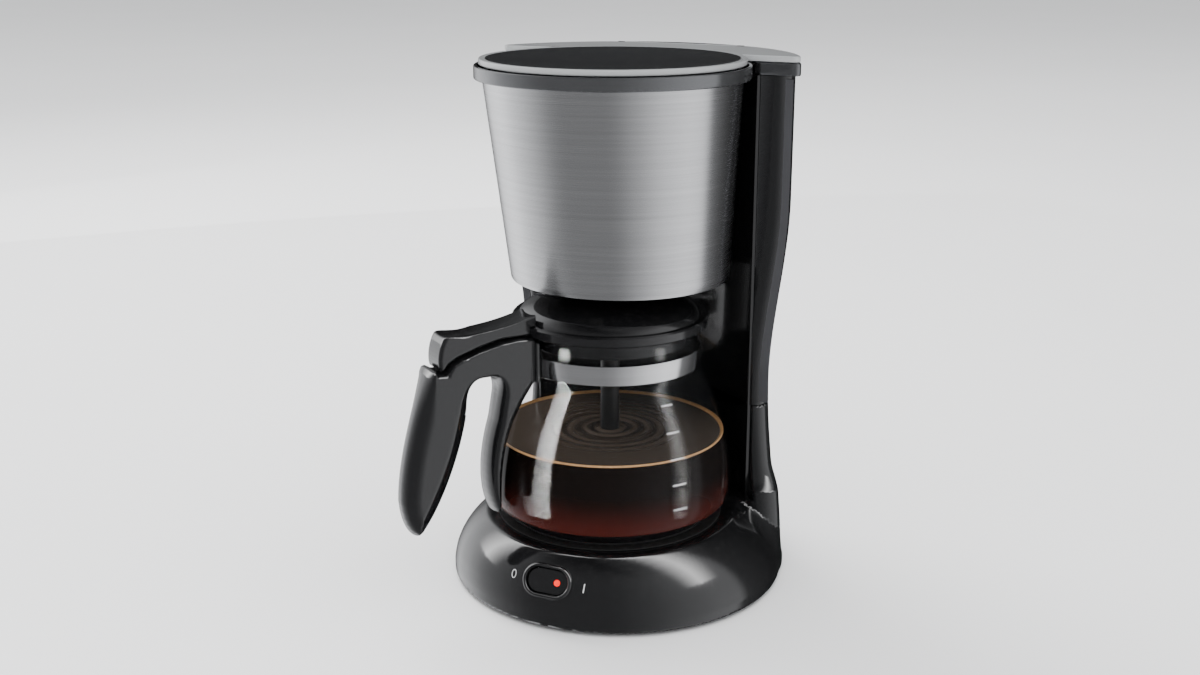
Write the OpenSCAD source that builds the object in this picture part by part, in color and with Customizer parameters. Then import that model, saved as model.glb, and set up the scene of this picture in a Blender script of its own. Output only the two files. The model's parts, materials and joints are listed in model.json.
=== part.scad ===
// Drip coffee maker: a round base with a hot plate, a waisted tower that holds the water,
// a leaning steel drum that holds the filter, a one-piece lid and a glass jug with a lever lid.
// Millimetres, +Z up. The origin is on the table, on the axis of the jug and the hot plate.
// The front is -Y.

/* [Base] */
// Radius of the round base on the table
base_r = 107.5; // [105:0.5:109]
// Height of the flat deck round the hot plate
base_h = 45.5; // [44:0.5:48]
// Radius of the flat deck
deck_r = 78.5; // [77.5:0.5:80]
// Distance from the jug's axis back to the axis of the round base and tower
body_back = 12; // [10:0.5:14]
// Height of the straight edge at the foot of the base
foot_edge_h = 8; // [6:0.5:10]
// Thickness of the housing walls
wall = 2.5; // [2:0.1:3]
// Height of the rubber feet
foot_h = 2.5; // [2:0.1:4]
// Radius of a rubber foot
foot_r = 8; // [6:0.5:9]
// Distance of the feet and screws from the body's axis
foot_pcr = 86; // [80:1:92]
// Thickness of the bottom cover
plate_t = 2; // [1.5:0.1:3]

/* [Hot plate] */
// Radius of the hot plate
hot_r = 65; // [60:0.5:67]
// Thickness of the hot plate's sheet
hot_t = 1.5; // [1:0.1:2]
// Height of the hot plate above the deck
hot_rise = 1.9; // [1.4:0.1:2.5]
// Radius of the heater's bend
heater_r = 42; // [38:1:46]
// Radius of the heater tube
heater_tube_r = 4; // [3.5:0.1:4.5]
// Radius of the water tube under the heater
water_tube_r = 5; // [4:0.1:5.5]
// Outer radius of the silicone hoses
hose_r = 6.5; // [6:0.1:7]

/* [Tower] */
// Radius of the tower at its waist
waist_r = 99.3; // [98:0.1:102]
// Height of the waist
waist_h = 125; // [115:1:135]
// Height at which the tower reaches its full radius
shoulder_h = 245; // [230:1:260]
// Height of the seam between base and tower
seam_h = 109; // [104:1:112]
// Height of the tower shell's top edge
tower_h = 321; // [319:0.5:323]
// Distance from the jug's axis back to the front of the tower's wings
wing_y = 50; // [48:0.5:54]
// Radius of the round recess that the jug stands in
recess_r = 99.7; // [97:0.1:102]
// Distance from the jug's axis back to the rear of the recess
recess_back = 84; // [83:0.5:86]
// Thickness of the recess panel
panel_t = 1.8; // [1.6:0.1:2.2]
// Radius of the collar round the top
collar_r = 110; // [109.5:0.5:111]
// How far the collar stands out from the tower
collar_lip = 1.5; // [1:0.1:2]
// Height of the collar
collar_h = 8; // [7:0.5:9]
// Wall of the water tank
tank_wall = 1.5; // [1.4:0.1:2]
// Outer radius of the riser tube
riser_r = 4; // [3.5:0.1:4.2]

/* [Drum] */
// Outer radius of the steel sleeve at the top
drum_top_r = 78.5; // [77:0.5:79.5]
// Outer radius of the steel sleeve at the bottom
drum_bottom_r = 68.7; // [66:0.1:70]
// Height of the drum's bottom edge
drum_z = 197; // [196:0.5:199]
// Offset of the drum's centre behind the jug's axis at the top
drum_top_y = 3; // [2:0.5:4]
// Offset of the drum's centre behind the jug's axis at the bottom
drum_bottom_y = 15; // [13:0.5:16]
// Thickness of the steel sleeve
sleeve_t = 0.8; // [0.6:0.1:1]
// Wall of the drum
drum_wall = 2; // [1.6:0.1:2.4]
// Half of the angle that the sleeve and the drum's collar cover, from the front
sleeve_half = 122; // [115:1:126]
// Outer radius of the drum's collar
drum_collar_r = 83.5; // [82.5:0.5:84]
// Height of the filter basket's floor
basket_z = 206; // [204:0.5:209]
// Depth of the filter basket's rim below the tower's top
basket_drop = 6; // [5:0.5:11]

/* [Lid] */
// Radius of the lid's round front
lid_r = 80.5; // [80:0.5:82]
// Radius of the dished part of the lid
dish_r = 77; // [75:0.5:78]
// Depth of the dish
dish_d = 4.5; // [3:0.1:5]
// Thickness of the lid at its edge
lid_t = 3.7; // [3.2:0.1:4.2]
// Thickness of the lid's skin
lid_skin = 1.8; // [1.5:0.1:2]
// Opening angle of the lid, degrees
lid_open_deg = 95; // [80:1:100]
// Radius of the lid's hinge barrel
barrel_r = 2.3; // [2:0.1:2.4]
// Radius of the hinge pins
hinge_pin_r = 1; // [0.8:0.1:1.2]

/* [Jug] */
// Outer radius of the glass at its widest
jug_r = 78; // [76:0.5:78]
// Outer radius of the glass neck
neck_r = 56.5; // [55:0.5:58]
// Thickness of the glass
glass_t = 2.2; // [1.8:0.1:2.6]
// Height of the glass above the hot plate
glass_h = 121.5; // [119:0.5:123]
// Radius of the steel band
band_r = 58; // [57.6:0.1:59]
// Height of the steel band
band_h = 12; // [10:0.5:13]
// Radius of the jug lid's rim
rim_r = 61.5; // [60:0.5:62]
// Height of the jug lid's rim
rim_h = 6.5; // [5.5:0.5:7]
// Rise of the jug lid's dome above its rim
dome_h = 15; // [12:0.5:15.5]
// Outer radius of the brew tube
brew_r = 6; // [5:0.1:7]
// Angle of the handle from the front towards the left, degrees
handle_turn = 35.4; // [30:0.1:45]
// Reach of the handle from the jug's axis
handle_reach = 145; // [140:0.5:147]
// Width of the handle
handle_w = 23; // [20:0.5:25]
// Width of the thumb lever
lever_w = 19; // [16:0.5:20]
// Radius of the lever's pin
lever_pin_r = 1.6; // [1.2:0.1:2]

/* [Drip stop] */
// Radius of the drip stop's stem
stem_r = 2.5; // [2:0.1:3]
// Travel of the drip stop
drip_travel = 4; // [3:0.5:4.5]
// Radius of the drip stop's seal
seal_r = 9; // [8:0.5:10]
// Radius of the spring's wire
spring_wire_r = 0.4; // [0.3:0.05:0.5]
// Turns of the spring
spring_turns = 4; // [3:1:5]

/* [Switch] */
// Width of the oval switch ring
switch_w = 32; // [30:0.5:34]
// Height of the oval switch ring
switch_h = 20; // [19:0.5:22]
// Width of the rocker
rocker_w = 25; // [23:0.5:26]
// Height of the rocker
rocker_h = 14; // [12:0.5:15]
// Height of the switch's centre above the table
switch_z = 30; // [28:0.5:32]
// Tilt of the rocker to each side, degrees
rocker_deg = 5; // [3:0.5:6]

/* [Fits] */
// Gap between parts that are fixed together
fit = 0.2; // [0.1:0.05:0.3]
// Gap between parts that move past each other
gap = 0.35; // [0.3:0.05:0.5]
// Running clearance of a pin in its bore
run = 0.05; // [0.03:0.01:0.08]

/* [Hidden] */
big = 400;
eps = 0.01;
steps = 12;

function smooth(t) = t * t * (3 - 2 * t);
function clamp01(t) = min(1, max(0, t));
// How far a circle reaches from its centre along a line set off to one side.
function chord(r, side) = sqrt(r * r - side * side);
function lerp(a, b, t) = a + (b - a) * t;
function bezier(p, t) =
    p[0] * pow(1 - t, 3) + p[1] * 3 * t * pow(1 - t, 2) + p[2] * 3 * t * t * (1 - t) + p[3] * pow(t, 3);
function curve(p, n = steps) = [for (i = [0:n]) bezier(p, i / n)];
function arc(c, r, a0, a1, n = 8) =
    [for (i = [0:n]) c + r * [cos(a0 + (a1 - a0) * i / n), sin(a0 + (a1 - a0) * i / n)]];

// The tower's radius at a height: full at the foot, narrow at the waist, full at the shoulder.
function body_radius(z) = z < waist_h
    ? lerp(base_r - plinth, waist_r, smooth(clamp01(z / waist_h)))
    : lerp(waist_r, tower_r, smooth(clamp01((z - waist_h) / (shoulder_h - waist_h))));

base_z = foot_h;
plinth = 0.6;
tower_r = collar_r - collar_lip;
recess_y = recess_back - recess_r;
tank_gap = 0.4;
deck_under = base_h - wall;
hot_top = base_h + hot_rise;
jug_z = hot_top + gap;
skirt_w = base_r - deck_r;
// Where the skirt's cones meet, as [radius, height].
skirt_points = [
    [base_r + 0.8, foot_edge_h],
    [deck_r + 0.776 * skirt_w, base_h - 24],
    [deck_r + 0.448 * skirt_w, base_h - 11],
    [deck_r, base_h]];
skirt_lean = body_back / (base_h - foot_edge_h);
heater_z = hot_top - hot_t - heater_tube_r - fit;
water_z = heater_z - heater_tube_r - water_tube_r - fit;
heater_leg = 30;
water_leg = 42;
hose_in = water_tube_r + fit / 2;
elbow_r = 12;
// The hoses rise midway between the recess panel and the back wall.
service_y = (recess_y + chord(recess_r + panel_t, heater_r)
    + body_back + chord(body_radius(seam_h) - wall, heater_r)) / 2;
hose_top = seam_h - 6;

// The drum leans: its centre moves forward as it rises, so that its back stands upright.
drum_h = tower_h - drum_z;
drum_lean = (drum_bottom_y - drum_top_y) / drum_h;
function drum_radius(z) = lerp(drum_bottom_r, drum_top_r, (z - drum_z) / drum_h);
function drum_y(z) = lerp(drum_bottom_y, drum_top_y, (z - drum_z) / drum_h);
shell_skin = sleeve_t + fit;
basket_rim_z = tower_h - basket_drop;

collar_z = tower_h;
lid_z = collar_z + collar_h + gap;
lid_top = lid_z + lid_t;
hinge_y = body_back + collar_r - 11;
hinge_z = lid_z + barrel_r - 0.6;
hinge_half = 40;
ear_t = 5;
ear_r = barrel_r - 0.1;
pin_len = 12;

// Heights on the jug.
band_z = jug_z + 97.5;
rim_z = jug_z + glass_h + gap;
dome_top = rim_z + rim_h + dome_h;
neck_z = jug_z + 94;
jug_corner = 14;
skirt_r = neck_r - glass_t - 1;
skirt_depth = 10;
glass_curve = curve(
    [[jug_r, jug_z + jug_corner], [jug_r, jug_z + 52], [neck_r + 9.5, jug_z + 79], [neck_r, neck_z]], 14);
lever_pin_u = 102.8;
lever_pin_z = jug_z + 113.8;
tongue_w = 8;

foot_gap = gap + 0.1;
stem_z = dome_top + foot_gap;
stem_top = basket_z + drip_travel + 3;
spout_r = 9;
spider_z = drum_z + 3;

module behind(y) translate([-big / 2, y, -big / 2]) cube([big, big, 2 * big]);
module in_front(y) translate([-big / 2, y - big, -big / 2]) cube([big, big, 2 * big]);
module at_body() translate([0, body_back, 0]) children();
module at_drum() translate([0, drum_top_y, 0]) children();
module at_recess() translate([0, recess_y, 0]) children();
module ring(r0, r1, z0, z1) rotate_extrude($fn = 96) translate([r0, z0]) square([r1 - r0, z1 - z0]);
module arc_ring(r0, r1, z0, z1, half)
    rotate([0, 0, -90 - half]) rotate_extrude(angle = 2 * half, $fn = 96)
        translate([r0, z0]) square([r1 - r0, z1 - z0]);
// A solid of the body's own round shape between two heights, drawn in by inset.
module body_round(z0, z1, inset = 0) at_body()
    rotate_extrude($fn = 96) polygon(concat(
        [[0, z0]],
        [for (i = [0:steps]) let (z = lerp(z0, z1, i / steps)) [body_radius(z) - inset, z]],
        [[0, z1]]));
// One leaning frustum of the drum between two heights.
module drum_solid(z0, z1, inset) multmatrix([[1, 0, 0, 0], [0, 1, -drum_lean, drum_lean * z0], [0, 0, 1, 0]])
    translate([0, drum_y(z0), z0])
        cylinder(h = z1 - z0, r1 = drum_radius(z0) - inset, r2 = drum_radius(z1) - inset, $fn = 96);
// A leaning cone of the base, whose side passes through two [radius, height] points.
module skirt_cone(low, high, inset) {
    slope = (high[0] - low[0]) / (high[1] - low[1]);
    multmatrix([[1, 0, 0, 0], [0, 1, -skirt_lean, skirt_lean * foot_edge_h], [0, 0, 1, 0]])
        translate([0, body_back, base_z - wall])
            cylinder(h = base_h - base_z + wall,
                r1 = low[0] + slope * (base_z - wall - low[1]) - inset,
                r2 = low[0] + slope * (base_h - low[1]) - inset, $fn = 96);
}
// The leaning skirt of the base: the space that all of its cones share.
module skirt(inset) intersection() {
    at_body() cylinder(r = base_r - inset, h = base_h - inset, $fn = 96);
    skirt_cone(skirt_points[0], skirt_points[1], inset);
    skirt_cone(skirt_points[1], skirt_points[2], inset);
    skirt_cone(skirt_points[2], skirt_points[3], inset);
}
module foot_places(turn) at_body()
    for (a = [0:90:270]) rotate([0, 0, a + turn]) translate([foot_pcr, 0, 0]) children();

// ---- base ----
cord_turn = 58.8;
cord_z = 22;
cord_bore_r = 3.6;
gland_r = 6;
boss_r = 4;
boss_turn = 20;
screw_r = 1.6;
module base_outer() difference() {
    union() {
        skirt(0);
        intersection() {
            body_round(base_z, seam_h);
            behind(wing_y);
        }
    }
    translate([0, 0, base_z - big]) cylinder(r = big, h = big);
}
module base_hollow() {
    skirt(wall);
    intersection() {
        body_round(-1, seam_h + 1, wall);
        behind(wing_y + wall);
    }
}
module base_housing() color([0.06, 0.06, 0.065]) difference() {
    union() {
        difference() {
            base_outer();
            base_hollow();
        }
        intersection() {
            at_body() translate([0, 0, deck_under]) cylinder(r = base_r, h = wall, $fn = 96);
            behind(wing_y);
            body_round(deck_under - 1, base_h + 1, wall / 2);
        }
        intersection() {
            foot_places(boss_turn) translate([0, 0, base_z + plate_t + fit])
                cylinder(r = boss_r, h = deck_under + 1 - base_z - plate_t - fit, $fn = 32);
            union() {
                skirt(wall / 2);
                behind(wing_y);
            }
        }
    }
    at_recess() translate([0, 0, base_h]) cylinder(r = recess_r + panel_t + fit, h = big, $fn = 96);
    translate([0, 0, deck_under - 1]) cylinder(r = hot_r + 4 + fit, h = wall + 2, $fn = 96);
    foot_places(boss_turn) cylinder(r = screw_r, h = 18, $fn = 32);
    for (s = [-1, 1]) translate([s * heater_r, service_y, 0])
        cylinder(r = hose_r + 1.5, h = base_h + 1, $fn = 48);
    switch_place() translate([0, 0, -20]) oval(switch_w - 3, switch_h - 3, 30);
    switch_place() translate([0, 0, -bezel_sink - fit]) oval(switch_w + 2 * fit, switch_h + 2 * fit, 10);
    cord_place() translate([0, 0, -30]) cylinder(r = gland_r + run, h = 60, $fn = 48);
}
module base_plate() color([0.1, 0.1, 0.1]) difference() {
    at_body() translate([0, 0, base_z]) cylinder(r = base_r - 1 - wall - fit, h = plate_t, $fn = 96);
    foot_places(boss_turn) cylinder(r = screw_r + fit, h = 20, $fn = 32);
    foot_places(45) cylinder(r = 3, h = 20, $fn = 32);
    for (x = [-30:10:30]) translate([x - 2, -30, 0]) cube([4, 60, 20]);
}
module base_screws() color("silver") foot_places(boss_turn) {
    translate([0, 0, base_z - 1.4]) cylinder(r = 3.2, h = 1.4, $fn = 32);
    translate([0, 0, base_z - eps]) cylinder(r = screw_r, h = 14, $fn = 32);
}
module rubber_feet() color([0.15, 0.15, 0.15]) foot_places(45) {
    cylinder(r = foot_r, h = foot_h, $fn = 48);
    cylinder(r = 3 - fit / 2, h = foot_h + plate_t + 1, $fn = 32);
}
// Local frame of the cord's way out: +Z straight out through the base's wall.
module cord_place() at_body() rotate([0, 0, cord_turn]) translate([body_radius(cord_z), 0, cord_z])
    rotate([0, 90, 0]) children();
gland_in = 9;
gland_out = 2.4;
module cord_gland() color([0.08, 0.08, 0.08]) difference() {
    union() {
        cord_place() translate([0, 0, -gland_in]) cylinder(r = gland_r, h = gland_in + gland_out, $fn = 48);
        intersection() {
            cord_place() translate([0, 0, -gland_in]) cylinder(r = gland_r + 2, h = gland_in, $fn = 48);
            body_round(0, seam_h, wall + fit);
        }
        difference() {
            cord_place() translate([0, 0, -2]) cylinder(r = gland_r + 1.4, h = 2 + gland_out, $fn = 48);
            body_round(0, seam_h, -fit);
        }
    }
    cord_place() translate([0, 0, -gland_in - 1]) cylinder(r = cord_bore_r, h = 20, $fn = 48);
}

// ---- hot plate and water heater ----
module hot_plate() color([0.2, 0.2, 0.21]) {
    translate([0, 0, hot_top - hot_t]) cylinder(r = hot_r, h = hot_t, $fn = 96);
    ring(hot_r - hot_t, hot_r, deck_under - 3, hot_top - hot_t + eps);
}
module plate_seal() color([0.1, 0.1, 0.1]) {
    ring(hot_r + fit, hot_r + 4, deck_under - 2, base_h + eps);
    ring(hot_r + fit, hot_r + 7, base_h, base_h + 0.8);
}
// A horseshoe of round tube, open to the back; a bore of 0 leaves it solid.
module horseshoe(r, bore, leg, z) translate([0, 0, z]) {
    rotate([0, 0, 180]) rotate_extrude(angle = 180, $fn = 96)
        translate([heater_r, 0]) tube_section(r, bore);
    for (s = [-1, 1]) translate([s * heater_r, 0, 0]) rotate([-90, 0, 0])
        linear_extrude(leg) tube_section(r, bore);
}
module tube_section(r, bore) difference() {
    circle(r, $fn = 32);
    if (bore > 0) circle(bore, $fn = 32);
}
module heating_element() color("dimgray") horseshoe(heater_tube_r, 0, heater_leg, heater_z);
module water_tube() color("silver") horseshoe(water_tube_r, water_tube_r - 1, water_leg, water_z);
thermostat_h = 8;
clamp_z = hot_top - hot_t - thermostat_h - fit * 2;
module thermostat() color("lightgray") translate([0, 0, hot_top - hot_t - fit - thermostat_h])
    cylinder(r = 9, h = thermostat_h, $fn = 48);
module element_clamp() color("silver") difference() {
    union() {
        translate([-30, -6, clamp_z - 2]) cube([60, 12, 2]);
        for (x = [-28, 25]) translate([x, -6, clamp_z - 2]) cube([3, 12, hot_top - hot_t - clamp_z + 2]);
    }
    cylinder(r = 2, h = base_h, $fn = 32);
}
module thermal_fuses() color("tan") for (y = [-22, 22]) translate([-10, y, heater_z]) rotate([0, 90, 0])
    cylinder(r = 2.5, h = 20, $fn = 32);
block_x = 29;
block_y = hot_r + 4;
module terminal_block() color("ivory") difference() {
    translate([block_x, block_y, base_z + plate_t]) cube([24, 12, 12]);
    for (x = [4, 12, 20]) translate([block_x + x, block_y - 1, base_z + plate_t + 8])
        rotate([-90, 0, 0]) cylinder(r = 1.5, h = 14, $fn = 24);
}
// A hose from a leg of the water tube back and up into the tower.
module hose_path(r, side, top) {
    translate([side * heater_r, water_leg - 8, water_z]) rotate([-90, 0, 0])
        cylinder(r = r, h = service_y - elbow_r - water_leg + 8, $fn = 32);
    translate([side * heater_r, service_y - elbow_r, water_z + elbow_r]) rotate([0, 0, 90])
        rotate([90, 0, 0]) rotate([0, 0, -90])
            rotate_extrude(angle = 90, $fn = 64) translate([elbow_r, 0]) circle(r, $fn = 32);
    translate([side * heater_r, service_y, water_z + elbow_r])
        cylinder(r = r, h = top - water_z - elbow_r, $fn = 32);
}
module hose(side) difference() {
    hose_path(hose_r, side, hose_top);
    hose_path(hose_in - 1.5, side, hose_top + 1);
    translate([side * heater_r, water_leg - 9, water_z]) rotate([-90, 0, 0])
        cylinder(r = hose_in, h = 10, $fn = 32);
    translate([side * heater_r, service_y, hose_top - 10])
        cylinder(r = riser_r + fit / 2, h = 12, $fn = 32);
}
module inlet_hose() color([0.75, 0.73, 0.68]) hose(1);
module outlet_hose() color([0.75, 0.73, 0.68]) hose(-1);
module check_valve() color("white") translate([heater_r, service_y, seam_h - 36]) difference() {
    cylinder(r = hose_in - 1.6, h = 12, $fn = 32);
    translate([0, 0, -1]) cylinder(r = 1.6, h = 14, $fn = 24);
    translate([0, 0, 5]) cylinder(r = 2.8, h = 8, $fn = 24);
}
clamp_t = 0.9;
module hose_clamps() color("silver") for (s = [-1, 1]) {
    translate([s * heater_r, water_leg - 5, water_z]) rotate([-90, 0, 0])
        ring(hose_r + run, hose_r + clamp_t, 0, 4);
    translate([s * heater_r, service_y, 0])
        ring(hose_r + run, hose_r + clamp_t, hose_top - 6, hose_top - 2);
}
riser_top = tower_h - 3;
module riser_tube() color([0.8, 0.8, 0.78]) translate([-heater_r, service_y, hose_top - 9]) difference() {
    cylinder(r = riser_r, h = riser_top - hose_top + 9, $fn = 32);
    translate([0, 0, -1]) cylinder(r = riser_r - 1, h = big, $fn = 32);
}
arm_w = 12;
socket_r = riser_r + 3;
arm_z = tower_h - 3;
arm_h = 6;
arm_dx = heater_r;
arm_dy = service_y - drum_top_y;
arm_len = sqrt(arm_dx * arm_dx + arm_dy * arm_dy);
arm_turn = atan2(-arm_dy, arm_dx);
module spray_arm() color([0.85, 0.85, 0.83]) difference() {
    union() {
        translate([-heater_r, service_y, arm_z]) rotate([0, 0, arm_turn]) translate([0, -arm_w / 2, 0])
            cube([arm_len, arm_w, arm_h]);
        translate([-heater_r, service_y, arm_z - 6]) cylinder(r = socket_r, h = arm_h + 5.5, $fn = 48);
        at_drum() translate([0, 0, arm_z - 1]) cylinder(r = 13, h = arm_h + 0.5, $fn = 48);
    }
    translate([-heater_r, service_y, arm_z]) rotate([0, 0, arm_turn]) translate([0, -arm_w / 2 + 1.5, 1.5])
        cube([arm_len, arm_w - 3, arm_h - 3]);
    translate([-heater_r, service_y, arm_z - 7]) cylinder(r = riser_r + run, h = 7, $fn = 48);
    translate([-heater_r, service_y, arm_z - 2]) cylinder(r = riser_r - 1.2, h = 4.5, $fn = 48);
    at_drum() translate([0, 0, arm_z + 1.5]) cylinder(r = 11.5, h = arm_h - 3, $fn = 48);
    at_drum() for (a = [0:60:300]) rotate([0, 0, a]) translate([7.5, 0, arm_z - 2])
        cylinder(r = 1.5, h = 5, $fn = 24);
}

// ---- tower ----
tank_inset = wall + tank_gap;
tank_z = seam_h + 3;
tank_top = tower_h - 2;
level_z0 = 150;
level_z1 = tower_h - 21;
level_w = 9;
level_turn = 143;
module window_slot(w, grow) at_body() rotate([0, 0, level_turn]) {
    translate([waist_r - 20, -w / 2, level_z0 - grow]) cube([60, w, level_z1 - level_z0 + 2 * grow]);
    for (z = [level_z0 - grow, level_z1 + grow]) translate([waist_r - 20, 0, z]) rotate([0, 90, 0])
        cylinder(r = w / 2, h = 60, $fn = 32);
}
module tower_shell() color([0.05, 0.05, 0.055]) difference() {
    intersection() {
        body_round(seam_h + fit, tower_h);
        behind(wing_y);
    }
    intersection() {
        body_round(seam_h - 1, tower_h + 1, wall);
        behind(wing_y + wall);
    }
    at_recess() cylinder(r = recess_r + panel_t + fit, h = big, $fn = 96);
    window_slot(level_w, 0);
}
module recess_panel() color([0.03, 0.03, 0.035]) difference() {
    intersection() {
        at_recess() ring(recess_r, recess_r + panel_t, base_h + fit, tower_h);
        behind(wing_y);
    }
    arm_notch();
    drum_screw_places() cylinder(r = drum_screw_r + fit / 2, h = 20, center = true, $fn = 24);
    drum_screw_places() translate([0, 0, seat]) cylinder(r = head_r + fit, h = 5, $fn = 24);
}
module tank_outer(inset, z0, z1) difference() {
    intersection() {
        body_round(z0, z1, tank_inset + inset);
        behind(wing_y + tank_inset + inset);
    }
    at_recess() translate([0, 0, z0 - 1])
        cylinder(r = recess_r + panel_t + tank_gap + inset, h = z1 - z0 + 2, $fn = 96);
}
module water_tank() color([0.2, 0.2, 0.22]) difference() {
    tank_outer(0, tank_z, tank_top);
    tank_outer(tank_wall, tank_z + tank_wall, tank_top + 1);
    for (s = [-1, 1]) translate([s * heater_r, service_y, tank_z - 1]) cylinder(r = 4.5, h = 6, $fn = 32);
    arm_notch();
    translate([-heater_r, service_y, arm_z - 8]) cylinder(r = socket_r + fit, h = 20, $fn = 48);
    window_slot(level_w - 3, -1);
}
module tank_grommets() color([0.7, 0.68, 0.62]) {
    translate([-heater_r, service_y, 0]) ring(riser_r, 4.5, tank_z - 1, tank_z + tank_wall + 1);
    translate([heater_r, service_y, 0]) difference() {
        union() {
            ring(2.6, riser_r, hose_top - 8, tank_z + tank_wall);
            ring(2.6, 4.5, tank_z - 2, tank_z + tank_wall);
        }
    }
}
module level_window() color([0.8, 0.85, 0.9, 0.5]) intersection() {
    difference() {
        body_round(level_z0 - 12, level_z1 + 12, 0.4);
        body_round(level_z0 - 13, level_z1 + 13, wall);
    }
    window_slot(level_w - 2 * fit, -fit);
}
module tower_collar() color([0.09, 0.09, 0.1]) difference() {
    union() {
        intersection() {
            at_body() difference() {
                cylinder(r = collar_r, h = collar_z + collar_h, $fn = 96);
                cylinder(r = tower_r - wall, h = big, $fn = 96);
            }
            behind(wing_y);
            translate([-big / 2, -big / 2, collar_z]) cube([big, big, collar_h]);
        }
        intersection() {
            at_body() cylinder(r = collar_r, h = collar_z + collar_h, $fn = 96);
            behind(wing_y);
            in_front(wing_y + wall + 3);
            translate([-big / 2, -big / 2, collar_z]) cube([big, big, collar_h]);
        }
        intersection() {
            at_body() cylinder(r = collar_r, h = lid_top, $fn = 96);
            translate([-hinge_half - ear_t - 1, hinge_y + barrel_r + gap + 0.2, collar_z])
                cube([2 * (hinge_half + ear_t + 1), 40, lid_top - collar_z]);
        }
        for (s = [-1, 1]) translate([s * (hinge_half + ear_t / 2) - ear_t / 2, 0, 0]) {
            translate([0, hinge_y, hinge_z]) rotate([0, 90, 0]) cylinder(r = ear_r, h = ear_t, $fn = 48);
            translate([0, hinge_y - ear_r, collar_z]) cube([ear_t, 8, hinge_z - collar_z]);
        }
    }
    at_recess() cylinder(r = recess_r, h = big, $fn = 96);
    translate([-hinge_half, hinge_y, hinge_z]) rotate([0, 90, 0])
        cylinder(r = barrel_r + gap, h = 2 * hinge_half, $fn = 48);
    translate([-hinge_half - pin_len, hinge_y, hinge_z]) rotate([0, 90, 0])
        cylinder(r = hinge_pin_r, h = 2 * (hinge_half + pin_len), $fn = 32);
}
module lid_hinge_pins() color("silver") for (s = [-1, 1])
    translate([s * (hinge_half - pin_len / 2 + ear_t) - pin_len / 2, hinge_y, hinge_z]) rotate([0, 90, 0])
        cylinder(r = hinge_pin_r, h = pin_len, $fn = 32);

// ---- drum ----
floor_t = 2.5;
module drum_cutaway() at_drum() translate([0, 0, drum_z - 1]) linear_extrude(drum_h + 2)
    polygon([[0, 0], [-big * tan(180 - sleeve_half), big], [big * tan(180 - sleeve_half), big]]);
rib_x = 22;
rib_y = 76.8;
ledge_z = basket_rim_z - 6;
module drum_shell() color([0.05, 0.05, 0.055]) difference() {
    union() {
        difference() {
            drum_solid(drum_z, tower_h, shell_skin);
            drum_solid(drum_z + floor_t, tower_h + 1, shell_skin + drum_wall);
        }
        translate([0, drum_y(ledge_z), 0])
            ring(drum_radius(ledge_z) - shell_skin - drum_wall - 1.5,
                drum_radius(ledge_z) - shell_skin - 0.5, ledge_z, ledge_z + 3);
        intersection() {
            for (x = [-rib_x, rib_x]) translate([x - 5, rib_y, drum_z + 5]) cube([10, 40, drum_h - 10]);
            at_recess() cylinder(r = recess_r - fit / 2, h = big, $fn = 96);
        }
    }
    translate([0, 0, drum_z - 1]) cylinder(r = 14, h = floor_t + 2, $fn = 48);
    arm_notch();
    drum_screw_places() translate([0, 0, -4.2]) cylinder(r = drum_screw_r, h = 10, $fn = 24);
}
module arm_notch() translate([-heater_r, service_y, arm_z - 1]) rotate([0, 0, arm_turn])
    translate([-8, -arm_w / 2 - fit, 0]) cube([arm_len, arm_w + 2 * fit, 20]);
drum_screw_r = 1.4;
head_r = 2.4;
seat = panel_t - 1.1;
// Local frame of each screw that holds the drum: +Z out through the recess panel, from its front.
module drum_screw_places() at_recess() for (z = [drum_z + 30, tower_h - 30]) for (s = [-1, 1])
    rotate([0, 0, s * asin(rib_x / recess_r)]) translate([0, recess_r, z]) rotate([-90, 0, 0]) children();
module drum_screws() color("silver") drum_screw_places() {
    translate([0, 0, -3.8]) cylinder(r = drum_screw_r - run, h = 3.8 + seat + eps, $fn = 24);
    translate([0, 0, seat]) cylinder(r = head_r, h = panel_t - seat, $fn = 24);
}
module steel_sleeve() color([0.7, 0.7, 0.71]) difference() {
    drum_solid(drum_z, tower_h - fit, 0);
    drum_solid(drum_z - 1, tower_h + 1, sleeve_t);
    drum_cutaway();
}
module drum_collar() color([0.35, 0.35, 0.37]) at_drum() {
    arc_ring(drum_collar_r - 2, drum_collar_r, collar_z, collar_z + collar_h, sleeve_half);
    arc_ring(drum_top_r - 3.2, drum_collar_r - 1, collar_z, collar_z + 2, sleeve_half);
    arc_ring(drum_top_r - 3.2, drum_top_r - 1.2, collar_z, collar_z + collar_h - 2, sleeve_half);
}
basket_gap = 2.8;
basket_t = 1.6;
basket_skin = shell_skin + drum_wall + basket_gap;
module filter_basket() color([0.12, 0.12, 0.13]) difference() {
    union() {
        difference() {
            drum_solid(basket_z - 2, basket_rim_z, basket_skin);
            drum_solid(basket_z, basket_rim_z + 1, basket_skin + basket_t);
        }
        translate([0, drum_y(basket_rim_z), 0])
            ring(drum_radius(basket_rim_z) - basket_skin - 0.5,
                drum_radius(basket_rim_z) - shell_skin - drum_wall - 0.6, basket_rim_z - 2.6, basket_rim_z);
        translate([0, 0, drum_z]) cylinder(r = spout_r, h = basket_z - drum_z - 1, $fn = 48);
    }
    translate([0, 0, spider_z + 1.5]) cylinder(r = spout_r - 2, h = 20, $fn = 48);
    translate([0, 0, drum_z - 1]) cylinder(r = spout_r - 2, h = spider_z - drum_z + 1, $fn = 48);
    translate([0, 0, drum_z]) cylinder(r = stem_r + run, h = 20, $fn = 32);
    for (a = [0:90:270]) rotate([0, 0, a]) translate([4.9, 0, drum_z]) cylinder(r = 1.5, h = 20, $fn = 24);
}
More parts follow.
